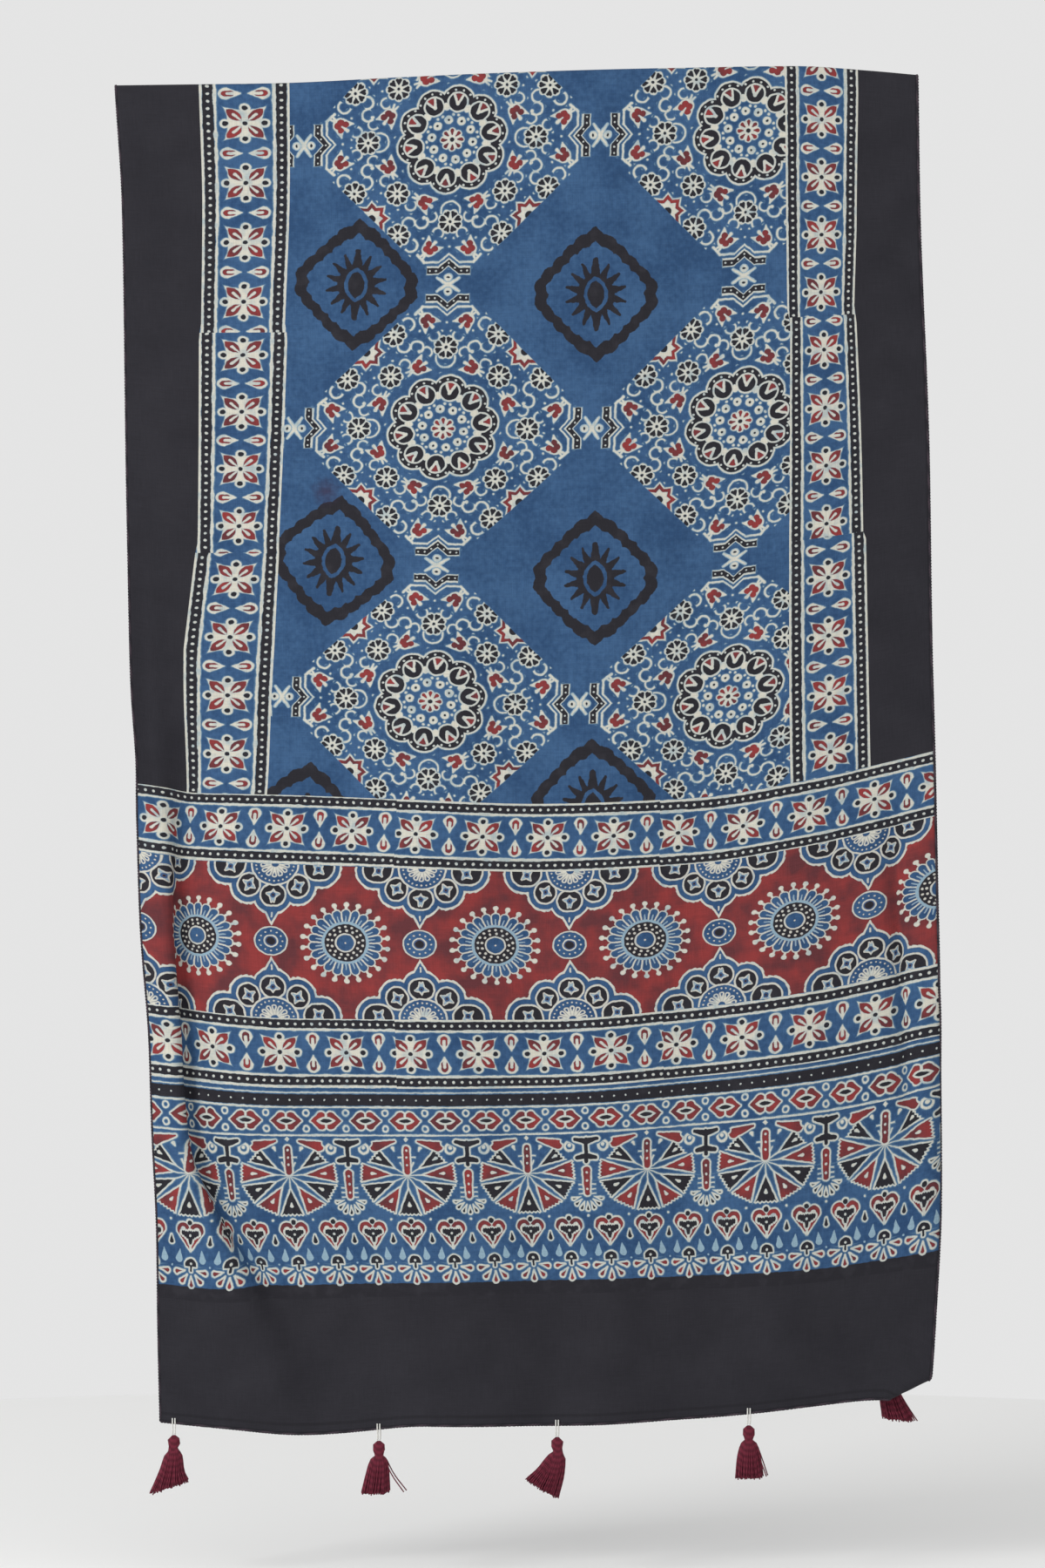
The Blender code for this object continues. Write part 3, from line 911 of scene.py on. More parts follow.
def draw_sprays(inks, eighth, outside_medallion):
    """What grows from the medallion to the diamond's edge: curls, bells, wheels, half stars and seeds."""
    scroll = eighth - (57.0, 23.6)
    scroll = scroll.scaled(maths("SIGN", scroll.y))
    inks.cream(
        arc(eighth, (49.0, 0.0), 6.4, 0.6, (-1.0, 0.35)),
        arc(eighth, (44.5, 27.0), 3.6, 0.6, (1.0, -0.4), -1.5),
        arc(eighth, (53.0, 12.8), 3.6, 0.6, (1.0, -0.6), -1.4),
        arc(eighth, (64.4, 8.0), 3.6, 0.6, (-1.0, -0.6), -1.2),
        arc(eighth, (72.5, 26.0), 4.4, 0.7, (0.6, -0.8), -1.4),
        stroke(eighth, (84.6, 16.6), (79.4, 21.2), 0.9),
        arc(scroll, (0.6, 4.3), 4.3, 0.7, (-1.0, 0.3), -2.4),
        disc(scroll, (3.4, 6.0), 1.2),
    )
    draw_bell(inks, turned(mirrored(eighth, *BELLS) - BELLS[0], (0.55, -0.83)))
    folded = mirrored(mirrored(eighth, WHEELS[2], WHEELS[1]), WHEELS[0], WHEELS[2])
    draw_wheel(inks, folded - WHEELS[0], outside_medallion)
    # half a star in the middle of each side
    far, near = eighth.x, eighth.y
    out, over = (far + near) * math.sqrt(0.5) - HALF_STAR_OUT, (far - near) * math.sqrt(0.5)
    point = round_a_centre(spot(out, over), 8)
    star = halved(point).towards((0.772, 0.635))
    inks.cream(star - 8.3)
    inks.red(star - 7.3)
    inks.cream(star - 5.0)
    inks.black(point.length() - 2.8)
    # seeds wherever there is room for one
    seed = turned(eighth, (0.5, 1.0)).wrapped(6.6, 6.6).length() - 0.7
    inks.cream(most(seed, 1.7 - least(*inks.reach.values())))
    inks.keep(most(far + near - DIAMOND, far - TIP))


def draw_medallion(inks, place):
    """A ten-lobed medallion."""
    ring = round_a_centre(place * (1.0, -1.0), 10, 8.0)
    wedge = halved(ring)
    lobe = bar(ring, (0.0, 0.0), (0.0, 26.4), 0.0)
    middle = place.length()
    inks.bare(lobe - 14.4)
    inks.cream(lobe - 11.6)
    inks.black(lobe - 10.3)
    inks.cream(dots(wedge, 0.75, (2.7, 34.2), (7.6, 31.6)), middle - 25.6)
    inks.bare(middle - 24.4)
    # a horseshoe in each lobe, and a clover between each two
    horseshoe = disc(ring, (0.0, 26.0), 0.0)
    clover = least(disc(wedge, (7.4, 22.0), 2.8), disc(wedge, (4.3, 13.2), 2.9))
    inks.cream(horseshoe - 7.2, clover, disc(wedge, (1.8, 17.2), 0.9))
    inks.black(horseshoe - 6.0, disc(wedge, (4.3, 13.2), 0.9))
    inks.cream(most(horseshoe - 6.4, ray(ring, 24.9, 33.0, 1.2, 5.0)))
    inks.red(most(horseshoe - 6.0, ray(ring, 27.6, 31.4, 0.6, 2.4)))
    # the flower at the middle
    petal = round_a_centre(place, 8)
    inks.cream(disc(petal, (0.0, 5.6), 2.6), middle - 6.6)
    inks.red(ray(petal, 3.7, 6.2, 0.5, 1.35))
    inks.black(middle - 1.5)


def draw_tips(inks, eighth):
    """The dotted chevron that closes each tip of a diamond, and the finial beyond it."""
    far, near = eighth.x, eighth.y
    chevron = far - least(near.times_plus(0.85, 84.8), 90.6)
    end = near - 14.6
    inks.bare(most(band(chevron, -1.6, 6.4), near - 16.0))
    inks.cream(most(band(chevron, -6.0, 0.7), near - 16.6))
    inks.cream(most(band(chevron, -0.3, 3.0), end))
    inks.black(most(band(chevron, 0.0, 2.0), end))
    lobe = stroke(eighth, (99.4, 1.4), (95.4, 7.4), 1.1, 0.6)
    finial = least(disc(eighth, (95.2, 0.0), 2.6), lobe, disc(eighth, (100.0, 0.0), 1.8))
    inks.pale(finial - 0.5)
    inks.cream(dots(eighth, 0.62, (85.2, 0.0), (88.5, 4.2), (90.6, 8.4), (90.6, 12.6)), finial)
    inks.black(leaf(eighth, (95.0, 0.0), 0.8, 1.3))


def draw_field(inks, place):
    """The lattice of diamonds, with a medallion in each."""
    cell = place.wrapped(CELL, CELL)
    quarter = abs(cell)
    eighth = folded_eighth(quarter.x, quarter.y)
    draw_sprays(inks, eighth, MEDALLION_REACH - cell.length())
    draw_medallion(inks, cell)
    draw_tips(inks, eighth)


# A shield's outline: where its sides face, and how far from the middle its rim and its window lie there.
Side = namedtuple("Side", "facing rim window")
SHIELD_SIDES = (
    Side((0.514, 0.857), 39.4, 30.6),
    Side((0.707, 0.707), 36.4, 29.2),
    Side((0.9, 0.436), 41.4, 33.2),
    Side((1.0, 0.0), 43.0, 34.2),
)


def draw_shield(inks, place):
    """The black shield on plain blue between the diamonds: a scalloped rim, and a sun with an eye."""
    quarter = abs(place)
    scallop = abs(maths("COSINE", maths("ARCTAN2", place.x, place.y) * 11.0)) * 1.5
    rim = most(*(quarter.towards(side.facing) - side.rim for side in SHIELD_SIDES)) - scallop
    window = most(*(quarter.towards(side.facing) - side.window for side in SHIELD_SIDES)) - scallop
    inks.black(most(rim, -window))
    rays = ray(round_a_centre(place * (1.05, 0.98), 14), 12.0, 22.4, 3.0, 1.0)
    sun = least(rays, place.length() - 13.6, ray(quarter, 13.0, 23.8, 3.8, 2.0))
    eye = most(leaf(place, (0.0, 0.0), 8.5, 12.6), -leaf(place, (0.0, 0.0), 6.0, 9.8))
    inks.black(most(sun, -eye))


HALF_LOBES = ((0.0, 21.0), (17.2, 14.4), (31.0, 2.6))
BAND_MIDDLE = 1000 * (BORDER_ROW_2 - ROSETTE_ROW) / 2
ROSETTE_REPEAT = 1000 * ROSETTE_PITCH


def draw_half_medallion(inks, half):
    """Half of a lobed medallion with its peak along y."""
    lobes = least(
        bar(half, (0.0, 21.0), (1.6, 21.0), 6.6),
        disc(half, (17.4, 14.6), 7.2),
        bar(half, (29.6, 0.0), (33.4, 1.4), 8.2),
    )
    notched = lobes - abs(maths("SINE", half.towards((0.85, 0.85)))) * 0.6
    peak = ray(half, 25.0, 41.0, 10.0, 0.4)
    inks.cream(notched - 5.9, peak)
    inks.blue(lobes - 4.7, peak + 1.6)
    inks.cream(lobes - 1.3, bar(half, (0.0, 33.0), (0.0, 35.5), 0.6))
    inks.black(lobes)
    # a lotus in each lobe
    lotus = mirrored(half, HALF_LOBES[1], HALF_LOBES[2])
    lotus = mirrored(lotus, HALF_LOBES[0], HALF_LOBES[1]) - HALF_LOBES[0]
    star = round_a_centre(lotus, 4, 12.0)
    inks.cream(ray(star, 1.0, 4.6, 2.6, 0.8))
    inks.pale(ray(star, 1.6, 4.0, 1.0, 0.3))
    inks.blue(lotus.length() - 1.9)
    inks.black(lotus.length() - 0.7)
    # the beaded disc at the middle, and its daisy
    disc_place = half * (1.0, 1.16)
    middle = disc_place.length()
    inks.cream(middle - 17.2)
    inks.blue(middle - 15.8)
    daisy = round_a_centre(disc_place, 13)
    inks.cream(disc(round_a_centre(disc_place, 26), (0.0, 13.4), 0.65), ray(daisy, 3.0, 8.8, 0.8, 1.9))
    inks.blue(ray(daisy, 6.8, 8.8, 0.2, 0.8), middle - 2.6)


def draw_rosettes(inks, place):
    """The red band: rosettes, an oval between each two, and half medallions above and below the ovals."""
    repeat = place.wrapped(ROSETTE_REPEAT, 400.0)
    quarter = abs(repeat)
    draw_half_medallion(inks, vector_maths("SUBTRACT", (ROSETTE_REPEAT / 2, BAND_MIDDLE), quarter))
    # ovals, a little wider than high
    oval = spot(ROSETTE_REPEAT / 2 - quarter.x, quarter.y * 1.22)
    around = oval.length()
    inks.cream(around - 12.0)
    inks.blue(around - 10.9)
    inks.cream(band(around, 4.6, 0.55), disc(round_a_centre(oval, 12), (0.0, 8.0), 0.65))
    inks.black(around - 3.1)
    # rosettes, wider than high too
    squashed = repeat * (1.0, 1.17)
    sector = round_a_centre(squashed, 22)
    ring = squashed.length()
    knobs = least(bar(sector, (0.0, 25.0), (0.0, 30.0), 0.95), disc(sector, (0.0, 30.3), 1.95))
    inks.cream(knobs, disc(sector, (0.0, 23.4), 3.5), ring - 24.0)
    inks.blue(ray(sector, 17.4, 23.2, 1.9, 2.7))
    inks.pale(ray(sector, 17.0, 21.0, 0.6, 0.4), ring - 16.8)
    inks.black(ring - 14.8)
    outer_beads = disc(round_a_centre(squashed, 18), (0.0, 12.6), 0.95)
    inner_beads = disc(round_a_centre(squashed, 13, 9.0), (0.0, 9.6), 0.95)
    inks.cream(outer_beads, inner_beads, ring - 7.5)
    inks.blue(ring - 6.3)
    inks.cream(ring - 0.7)


FAN_REPEAT = 1000 * FAN_PITCH
HEART_REPEAT = FAN_REPEAT / 3


def draw_chain(inks, place):
    """Plain stripes, then a chain of red lozenges. y is down from the star border."""
    down = place.y
    inks.cream(band(down, 2.9, inks.wear * 0.4))
    inks.black(band(down, 8.0, 3.9))
    inks.cream(spot(place.x.wrapped(8.2), down - 7.9).length() - 0.6)
    inks.cream(band(down, 12.9, inks.wear * 0.6))
    inks.cream(band(down, 32.1, inks.wear * 0.6))
    link = spot(abs(place.x.wrapped(HEART_REPEAT)), abs(down - 22.2))
    heart = least(stroke(link, (3.6, 2.2), (10.6, 0.0), 3.7, 0.3), disc(link, (3.4, 2.6), 3.4))
    inks.cream(heart - 1.1)
    inks.red(heart)
    notch = most(link.x - 0.8, heart - 0.6)
    inks.cream(leaf(upright(link), (0.0, 0.0), 2.7, 6.8), notch)
    inks.black(leaf(upright(link), (0.0, 0.0), 1.4, 4.5))
    inks.cream(hoop(link, (HEART_REPEAT / 2, 5.4), 2.0, 0.6))


FAN_HUB = (0.0, 26.8)
# In degrees: the angle from one sector of a fan to the next, where it ends and where its short pair begins.
FAN_SECTOR, FAN_END, SHORT_PAIR = 31.5, 141.0, 110.0


def draw_fan(inks, half):
    """A fan: sectors, black and red in turn with a short pair beside the stem, then its stem and wings."""
    hub = (half - FAN_HUB) * (0.83, 1.03)
    angle = maths("ARCTAN2", hub.x, hub.y)
    sector = at_angle(hub, angle.wrapped(math.radians(FAN_SECTOR)))
    side, out = abs(sector.x), sector.y
    short = maths("GREATER_THAN", angle, math.radians(SHORT_PAIR)) * 3.6
    ragged = abs(maths("SINE", side * 1.3)) * 0.9
    petal = most(side - out.times_plus(0.36, -3.7), out - (ragged - short) - 26.4)
    outside = most((angle - math.radians(FAN_END)) * 16.0, petal - 1.15)
    inks.cream(outside, ray(sector, 1.0, 10.0, 0.25, 0.5))
    odd = maths("COSINE", angle * (180.0 / FAN_SECTOR)) * 9.0
    petal = most(petal, outside + 0.4)
    inks.black(most(petal, -odd))
    inks.red(most(petal, odd))
    inks.cream(ray(sector, 19.0, 21.2, 0.4, 1.15))
    # the stem and the wings
    stem = bar(half, (0.0, 8.6), (0.0, 24.0), 0.0)
    tick = most(half.x - 6.4, band(half.y, 14.2, 0.5))
    inks.cream(stem - 3.4, half.x + abs(half.y - 1.8) - 1.7, tick)
    inks.red(stem - 2.2)
    wing = most(stroke(half, (8.4, 3.2), (22.4, 6.8), 0.7, 3.3), -disc(half, (27.0, 4.6), 3.0))
    inks.cream(wing - 1.05)
    inks.red(wing)


def draw_post(inks, post):
    """The anvil, the capsule and the fallen petals between two fans."""
    down = post.y
    anvil = least(
        stroke(post, (0.0, 5.4), (7.8, 3.6), 2.3, 1.2),
        bar(post, (0.0, 4.0), (0.0, 19.2), 1.4),
        stroke(post, (0.0, 15.4), (6.4, 16.6), 2.1, 1.5),
    )
    curl = arc(post, (11.8, 8.4), 3.2, 0.85, (0.5, 0.9), -2.6)
    inks.cream(anvil - 1.15, curl, disc(post, (11.6, 7.6), 1.3))
    inks.black(anvil)
    capsule = ray(post, 25.4, 41.0, 2.6, 1.9)
    rungs = most(post.x - 6.0, abs(down.wrapped(3.2)) - 0.45, band(down, 37.5, 4.5))
    inks.cream(capsule - 1.15, rungs)
    inks.red(capsule)
    petal = round_a_centre(post - (0.0, 42.4), 14)
    petals = most(ray(petal, 5.0, 10.0, 0.5, 2.1), 43.4 - down)
    inks.cream(petals)
    inks.black(petals + 1.2)


def draw_hearts(inks, small):
    """A heart with its seed above it, and the drops, bud and half daisy that hang from it."""
    down = small.y
    between = HEART_REPEAT / 2
    heart = stroke(small, (4.9, 63.2), (0.4, 77.6), 5.9, 0.4)
    crown = least(stroke(small, (0.0, 67.0), (4.9, 65.2), 2.5, 1.4), ray(small, 66.4, 72.0, 2.6, 0.5))
    crown = crown - abs(maths("SINE", small.x * 1.9)) * 0.5
    inks.cream(heart, disc(small, (0.0, 58.4), 2.9))
    inks.red(heart + 1.1)
    inks.cream(heart + 3.9, crown - 1.2)
    inks.black(crown, disc(small, (0.0, 58.4), 1.75))
    drop = stroke(small, (between, 67.4), (between, 71.6), 0.2, 1.5)
    inks.cream(drop - 1.0, disc(small, (0.0, 66.8), 0.85), disc(small, (between, 56.8), 0.8))
    inks.black(drop)
    inks.black(101.5 - down)
    inks.pale(stroke(small, (8.2, 76.4), (8.8, 82.6), 0.3, 2.5), disc(small, (between, 87.0), 0.7))
    daisy = round_a_centre(small - (0.0, 89.4), 9)
    petals = most(ray(daisy, 4.6, 10.8, 0.7, 2.7), 87.6 - down)
    inks.cream(petals)
    inks.red(petals + 1.35)
    bud = least(most(disc(small, (0.0, 86.2), 4.2), down - 87.4), bar(small, (0.0, 86.0), (0.0, 90.2), 0.8))
    inks.cream(bud - 1.05)
    inks.black(bud)
    inks.cream(disc(small, (0.0, 85.4), 0.9))


def draw_fans(inks, place):
    """Fans with a post between each two, then hearts, buds and half daisies down to the plain end."""
    half = spot(abs(place.x.wrapped(FAN_REPEAT)), place.y)
    post = spot(FAN_REPEAT / 2 - half.x, place.y)
    draw_fan(inks, half)
    draw_post(inks, post)
    stem_beads = dots(half, 0.8, (0.0, 9.4), (0.0, 14.4), (0.0, 19.4))
    inks.cream(stem_beads, dots(post, 0.85, (0.0, 27.0), (0.0, 32.6), (0.0, 38.4)))
    draw_hearts(inks, spot(abs(place.x.wrapped(HEART_REPEAT)), place.y))


# ---------------------------------------------------------------- dyes and weave


def srgb(red, green, blue):
    """A colour given as shown on a screen, 0 to 255."""
    parts = [value / 255 for value in (red, green, blue)]
    return (*(p / 12.92 if p <= 0.04045 else ((p + 0.055) / 1.055) ** 2.4 for p in parts), 1.0)


INDIGO = (srgb(39, 69, 105), srgb(56, 88, 125))
MADDER = (srgb(92, 45, 49), srgb(134, 51, 51))
BLACK = (srgb(34, 33, 39), srgb(42, 41, 47))
CREAM = (srgb(198, 195, 182), srgb(152, 168, 172))
HALO = srgb(99, 131, 153)
PALE = srgb(134, 160, 175)
# A dark smudge in the field beside the left border, and painted shade along the crease of the plain end's
# turned-in hem.
SMUDGE = srgb(52, 44, 66)
SMUDGE_AT, SMUDGE_RADIUS, SMUDGE_EDGE = (0.143, 0.2945), 0.008, 0.012
HEM_FOLD, HEM_FOLD_WIDTH = FRONT_LENGTH - 0.0065, 0.0007
HEM_CREASE_PAINTED_SHADE = srgb(26, 25, 30)
SOFT_EDGE = 0.42
# The scales of the dyes' and the print's unevenness, in spots to the metre.
PATCHES, BLOTCHES, WEAR, WOBBLE = 26.0, 48.0, 95.0, 260.0
# How far the outlines wander, in millimetres, for each map that a block is printed from.
WANDER = {"print": 0.45, "shield": 0.8}
THREADS = 1700.0
THREAD_STREAK = 60.0
WEAVE_BUMP, WEAVE_DEPTH = 0.35, 0.0004
CLOTH_ROUGHNESS = 0.88


def flat_map(name):
    return Spot(add_node("ShaderNodeUVMap", uv_map=name).outputs[0])


def noise(place, scale, detail=2.0):
    """Soft noise from 0 to 1 and, as colours, three of them."""
    made = add_node("ShaderNodeTexNoise", noise_dimensions="2D")
    feed(made.inputs["Vector"], place)
    made.inputs["Scale"].default_value = scale
    made.inputs["Detail"].default_value = detail
    return Amount(made.outputs[0]), made.outputs[1]


def shifted(place, colours, reach):
    """The place moved about by noise, up to some millimetres each way."""
    moved = vector_maths("MULTIPLY_ADD", Spot(colours), (2 * reach, 2 * reach), (-reach, -reach))
    return place + moved


def mix(share, first, second):
    made = add_node("ShaderNodeMix", data_type="RGBA", clamp_factor=True)
    feed(made.inputs[0], share)
    feed(made.inputs[6], first)
    feed(made.inputs[7], second)
    return made.outputs[2]


def covered(distance):
    """1 inside a shape and 0 outside it, with a soft edge."""
    return distance.times_plus(-1 / SOFT_EDGE, 0.5, clamp=True)


def contrast(value, low, high):
    """Stretches the noise between two of its levels to 0 and 1."""
    return value.times_plus(1 / (high - low), -low / (high - low), clamp=True)


def dyed(inks, ground, patches, blotches, fading):
    """The colour of the cloth where these inks lie, each dye uneven as a vat leaves it."""
    dyes = {
        "red": mix(blotches, *MADDER),
        "blue": mix(patches, *INDIGO),
        "black": mix(fading, *BLACK),
        "pale": PALE,
    }
    colour = dyes[ground]
    cream = inks.reach.get("cream")
    if ground == "blue":
        colour = mix(cream.times_plus(-1.1, 0.95, clamp=True) * 0.8, colour, HALO)
    for ink in dyes:
        if ink in inks.reach and ink != ground:
            colour = mix(covered(inks.reach[ink]), colour, dyes[ink])
    if cream:
        paler = most(fading, cream.times_plus(0.9, 0.75, clamp=True) * 0.75)
        colour = mix(covered(cream), colour, mix(paler * 0.8, *CREAM))
    return colour


def woven(place, colour):
    """Multiplies a colour by the weave's light and dark threads, and returns it with the weave's height."""
    weft = noise(place * (THREAD_STREAK, THREADS), 1.0, 1.0)[0]
    warp = noise(place * (THREADS, THREAD_STREAK), 1.0, 1.0)[0]
    threads = weft + warp
    return Spot(colour).scaled(threads.times_plus(0.26, 0.74)), threads


def start_material(name, roughness):
    made = bpy.data.materials.new(name)
    made.use_nodes = True
    shader = made.node_tree.nodes["Principled BSDF"]
    shader.inputs["Roughness"].default_value = roughness
    shader.inputs["Specular IOR Level"].default_value = 0.25
    Building.tree = made.node_tree
    return made, shader


def printed(name, ground, **draws):
    """A finish of the printed cloth: what these functions draw, each on its own map, over a dyed ground."""
    made, shader = start_material(name, CLOTH_ROUGHNESS)
    flat = flat_map("flat")
    broad = noise(flat, PATCHES, 3.0)[0]
    uneven, wobble = noise(flat, WOBBLE)
    patches = contrast(broad * 0.6 + uneven * 0.4, 0.36, 0.64)
    blotches = contrast(noise(flat, BLOTCHES, 4.0)[0], 0.34, 0.66)
    if draws:
        wear = noise(flat, WEAR)[0]
        inks = Inks(wear.times_plus(1.6, 0.2))
        for map_name, draw in draws.items():
            draw(inks, shifted(flat_map(map_name), wobble, WANDER[map_name]))
        colour = dyed(inks, ground, patches, blotches, contrast(wear, 0.5, 0.75))
    else:
        colour = dyed(Inks(None), ground, patches, blotches, contrast(broad * 0.8 + uneven * 0.2, 0.2, 0.8))
        # painted shade: a darker line along the crease where the plain end's hem is turned in
        beside = band(flat.y, HEM_FOLD, HEM_FOLD_WIDTH)
        colour = mix(beside.times_plus(-1 / HEM_FOLD_WIDTH, 1.0, clamp=True) * 0.5, colour, HEM_CREASE_PAINTED_SHADE)
    if "shield" in draws:
        outside = disc(flat, SMUDGE_AT, SMUDGE_RADIUS) + uneven * 0.008
        colour = mix(outside.times_plus(-1 / SMUDGE_EDGE, 0.7, clamp=True) * 0.75, colour, SMUDGE)
    colour, threads = woven(flat, colour)
    feed(shader.inputs["Base Color"], colour)
    bump = add_node("ShaderNodeBump")
    feed(bump.inputs["Strength"], WEAVE_BUMP)
    feed(bump.inputs["Distance"], WEAVE_DEPTH)
    feed(bump.inputs["Height"], threads)
    feed(shader.inputs["Normal"], bump.outputs[0])
    return made


def thread_material(name, painted_lit, painted_shade, roughness):
    """Twisted thread: a painted highlight on top of each ply and painted shade between them."""
    made, shader = start_material(name, roughness)
    along = flat_map("along")
    # painted highlight and painted shade in turns along the twist of the plies
    share = maths("SINE", along.x + along.y) * 0.5 + 0.5
    feed(shader.inputs["Base Color"], mix(share, painted_shade, painted_lit))
    return made


# ---------------------------------------------------------------- threads: hems, loops and tassels


def walk(path):
    """How far each point of a path is along it."""
    return np.concatenate([[0.0], np.cumsum(np.linalg.norm(np.diff(path, axis=0), axis=1))])


def tube(path, radii, sides):
    """Rings of points round a path, closed at both ends, with the distance along each as a map."""
    path = np.asarray(path, float)
    radii = np.broadcast_to(radii, len(path))
    along = unit(np.gradient(path, axis=0))
    start = np.eye(3)[np.abs(along).max(axis=0).argmin()]
    side = unit(start - (along @ start)[:, None] * along)
    other = np.cross(along, side)
    angles = 2 * math.pi * np.arange(sides) / sides
    ring = np.cos(angles)[:, None, None] * side + np.sin(angles)[:, None, None] * other
    points = (path + radii[:, None] * ring).transpose(1, 0, 2).reshape(-1, 3)
    walked = walk(path)
    rings, turn = np.arange(len(path) - 1)[:, None] * sides, np.arange(sides)
    ahead = (turn + 1) % sides
    faces = np.stack([rings + turn, rings + ahead, rings + sides + ahead, rings + sides + turn], axis=-1)
    return points, faces.reshape(-1, 4), walked, sides


def thread_object(name, tubes, finish, turns=0.0):
    """One mesh of many threads. The map `along` runs in turns of the ply along each thread and round it."""
    points, faces, maps, caps, start = [], [], [], [], 0
    for ring_points, ring_faces, walked, sides in tubes:
        points.append(ring_points)
        faces += (ring_faces + start).tolist()
        ring, turn = ring_faces // sides, np.array([[0, 1, 1, 0]]) + (ring_faces[:, :1] % sides)
        maps.append(np.stack([walked[ring] * turns, turn * 2 * math.pi / sides], axis=-1))
        last = start + len(ring_points) - sides
        caps += [list(range(start, start + sides))[::-1], list(range(last, last + sides))]
        start += len(ring_points)
    mesh = bpy.data.meshes.new(name)
    mesh.from_pydata(np.concatenate(points).tolist(), [], faces + caps)
    set_map(mesh, "along", [*maps, np.zeros((sum(map(len, caps)), 2))])
    mesh.shade_smooth()
    mesh.materials.append(finish)
    return add_object(name, mesh)


def smooth_path(points, count):
    """Evenly spaced points along a smooth curve through these points."""
    points = np.asarray(points, float)
    walked = walk(points)
    at = np.linspace(0, walked[-1], count)
    return np.column_stack([smooth_curve(walked, points[:, axis], at) for axis in range(3)])


HEM_RADIUS = 0.0010
HEM_SIDES = 5
HEM_PLY = 400.0
STITCH_PITCH = 0.0042
STITCH_DRIFTS = 60
HEM_STEP = 0.0007
HEM_INSET = 0.0005
END_HEM_PLACES = 240


def hem_tube(points, seed):
    """A rolled hem that each whip stitch draws in."""
    path = smooth_path(points, int(walk(points)[-1] / HEM_STEP))
    random = np.random.default_rng(seed)
    walked = np.arange(len(path)) * HEM_STEP
    knots = np.linspace(0, walked[-1], STITCH_DRIFTS)
    drift = np.interp(walked, knots, random.normal(0, 1.3, STITCH_DRIFTS))
    pinch = np.cos(2 * math.pi * walked / STITCH_PITCH + drift) ** 8
    return tube(path, HEM_RADIUS * (1.12 - 0.42 * pinch), HEM_SIDES)


def make_hems(finish):
    """The rolled and whipped hems of both long edges and of the two ends."""
    tubes = []
    for seed, near in enumerate(((0.0, HEM_INSET), (CLOTH_WIDTH, CLOTH_WIDTH - HEM_INSET))):
        near = np.sort(near)
        front = front_half([near] * len(FRONT_DOWNS), FRONT_DOWNS)[::-1]
        back = back_half([near] * len(BACK_DOWNS), BACK_DOWNS)
        edge = np.concatenate([front, fold_rows(near, ROUND_THE_FOLD), back])
        tubes.append(hem_tube(edge[:, seed], seed))
    places = np.linspace(0, CLOTH_WIDTH, END_HEM_PLACES)
    for seed, (half, length) in enumerate(((front_half, FRONT_LENGTH), (back_half, BACK_LENGTH)), 2):
        tubes.append(hem_tube(half([places] * 2, [length - HEM_SPAN, length])[1], seed))
    return thread_object("rolled_hems", tubes, finish, HEM_PLY)


STRAIGHT_DOWN = np.array([0.0, 0.0, -1.0])
LOOP_SPREAD = np.array([0.0009, 0.0, 0.0])
LOOP_RINGS = 30
LOOP_PLY = 2400.0


def loop_points(at, up, back):
    """The way of a thread that straddles the hem and hangs below it."""
    turn = np.linspace(0, math.pi, LOOP_POINTS)
    side = -np.sign(np.cos(turn)) * np.abs(np.cos(turn)) ** LOOP_SQUARENESS
    hang = np.sin(turn)[:, None]
    hanging = up * (LOOP_ABOVE_HEM * (1 - hang)) + STRAIGHT_DOWN * (LOOP_BELOW_HEM * hang)
    return at + back * (LOOP_REACH * side[:, None]) + hanging


def last_loop_points(at, up, back):
    """The way of the thread at the turned corner: over the edge, then down behind it."""
    over = at - up * (2 * LOOP_THREAD_RADIUS)
    behind = over - back * LAST_LOOP_BEHIND
    return np.array(
        [
            at + up * LOOP_ABOVE_HEM / 2 + back * LOOP_REACH,
            over + back * LOOP_REACH,
            over - up * LOOP_THREAD_RADIUS,
            over - back * LOOP_REACH,
            *(behind + STRAIGHT_DOWN * (LOOP_BELOW_HEM * share) for share in LAST_LOOP_DROPS),
        ]
    )


def make_loop(number, tassel, finish):
    """The doubled white thread that ties a tassel to the hem."""
    at, up, back = hem_frame(tassel.across)
    if tassel is TASSELS[-1]:
        ways = [last_loop_points(at, up, back)]
    else:
        ways = [loop_points(at + LOOP_SPREAD, up, back), loop_points(at - LOOP_SPREAD, up, back)]
    tubes = [tube(smooth_path(way, LOOP_RINGS), LOOP_THREAD_RADIUS * 0.75, 7) for way in ways]
    return thread_object(f"loop_{number}", tubes, finish, LOOP_PLY)


# The strands start this much above the solid's knob.
STRAND_TOP = 0.0006
HEAD_LENGTH = 0.0100
SKIRT_LENGTH = 0.0255
STRANDS, STRAYS = 420, 5
STRAND_RADIUS, STRAND_RINGS, STRAND_PLY = 0.00042, 11, 1500.0
GOLDEN_ANGLE = math.pi * (3 - math.sqrt(5))
# A tassel is flatter than it is wide.
FLATNESS = 0.72
BINDINGS, BINDING_PITCH, BINDING_RADIUS, BINDING_POINTS = 4, 0.0006, 0.00045, 17
# How wide the bundle of strands is at each level: the knob, the neck, the shoulder and the skirt.
LEVELS = (0.0, 0.0014, 0.0045, 0.0076, 0.0094, HEAD_LENGTH, 0.0122, 0.0160, 0.0230)
WIDTHS = (0.0008, 0.0031, 0.0043, 0.0032, 0.0021, 0.0023, 0.0052, 0.0068, 0.0084)


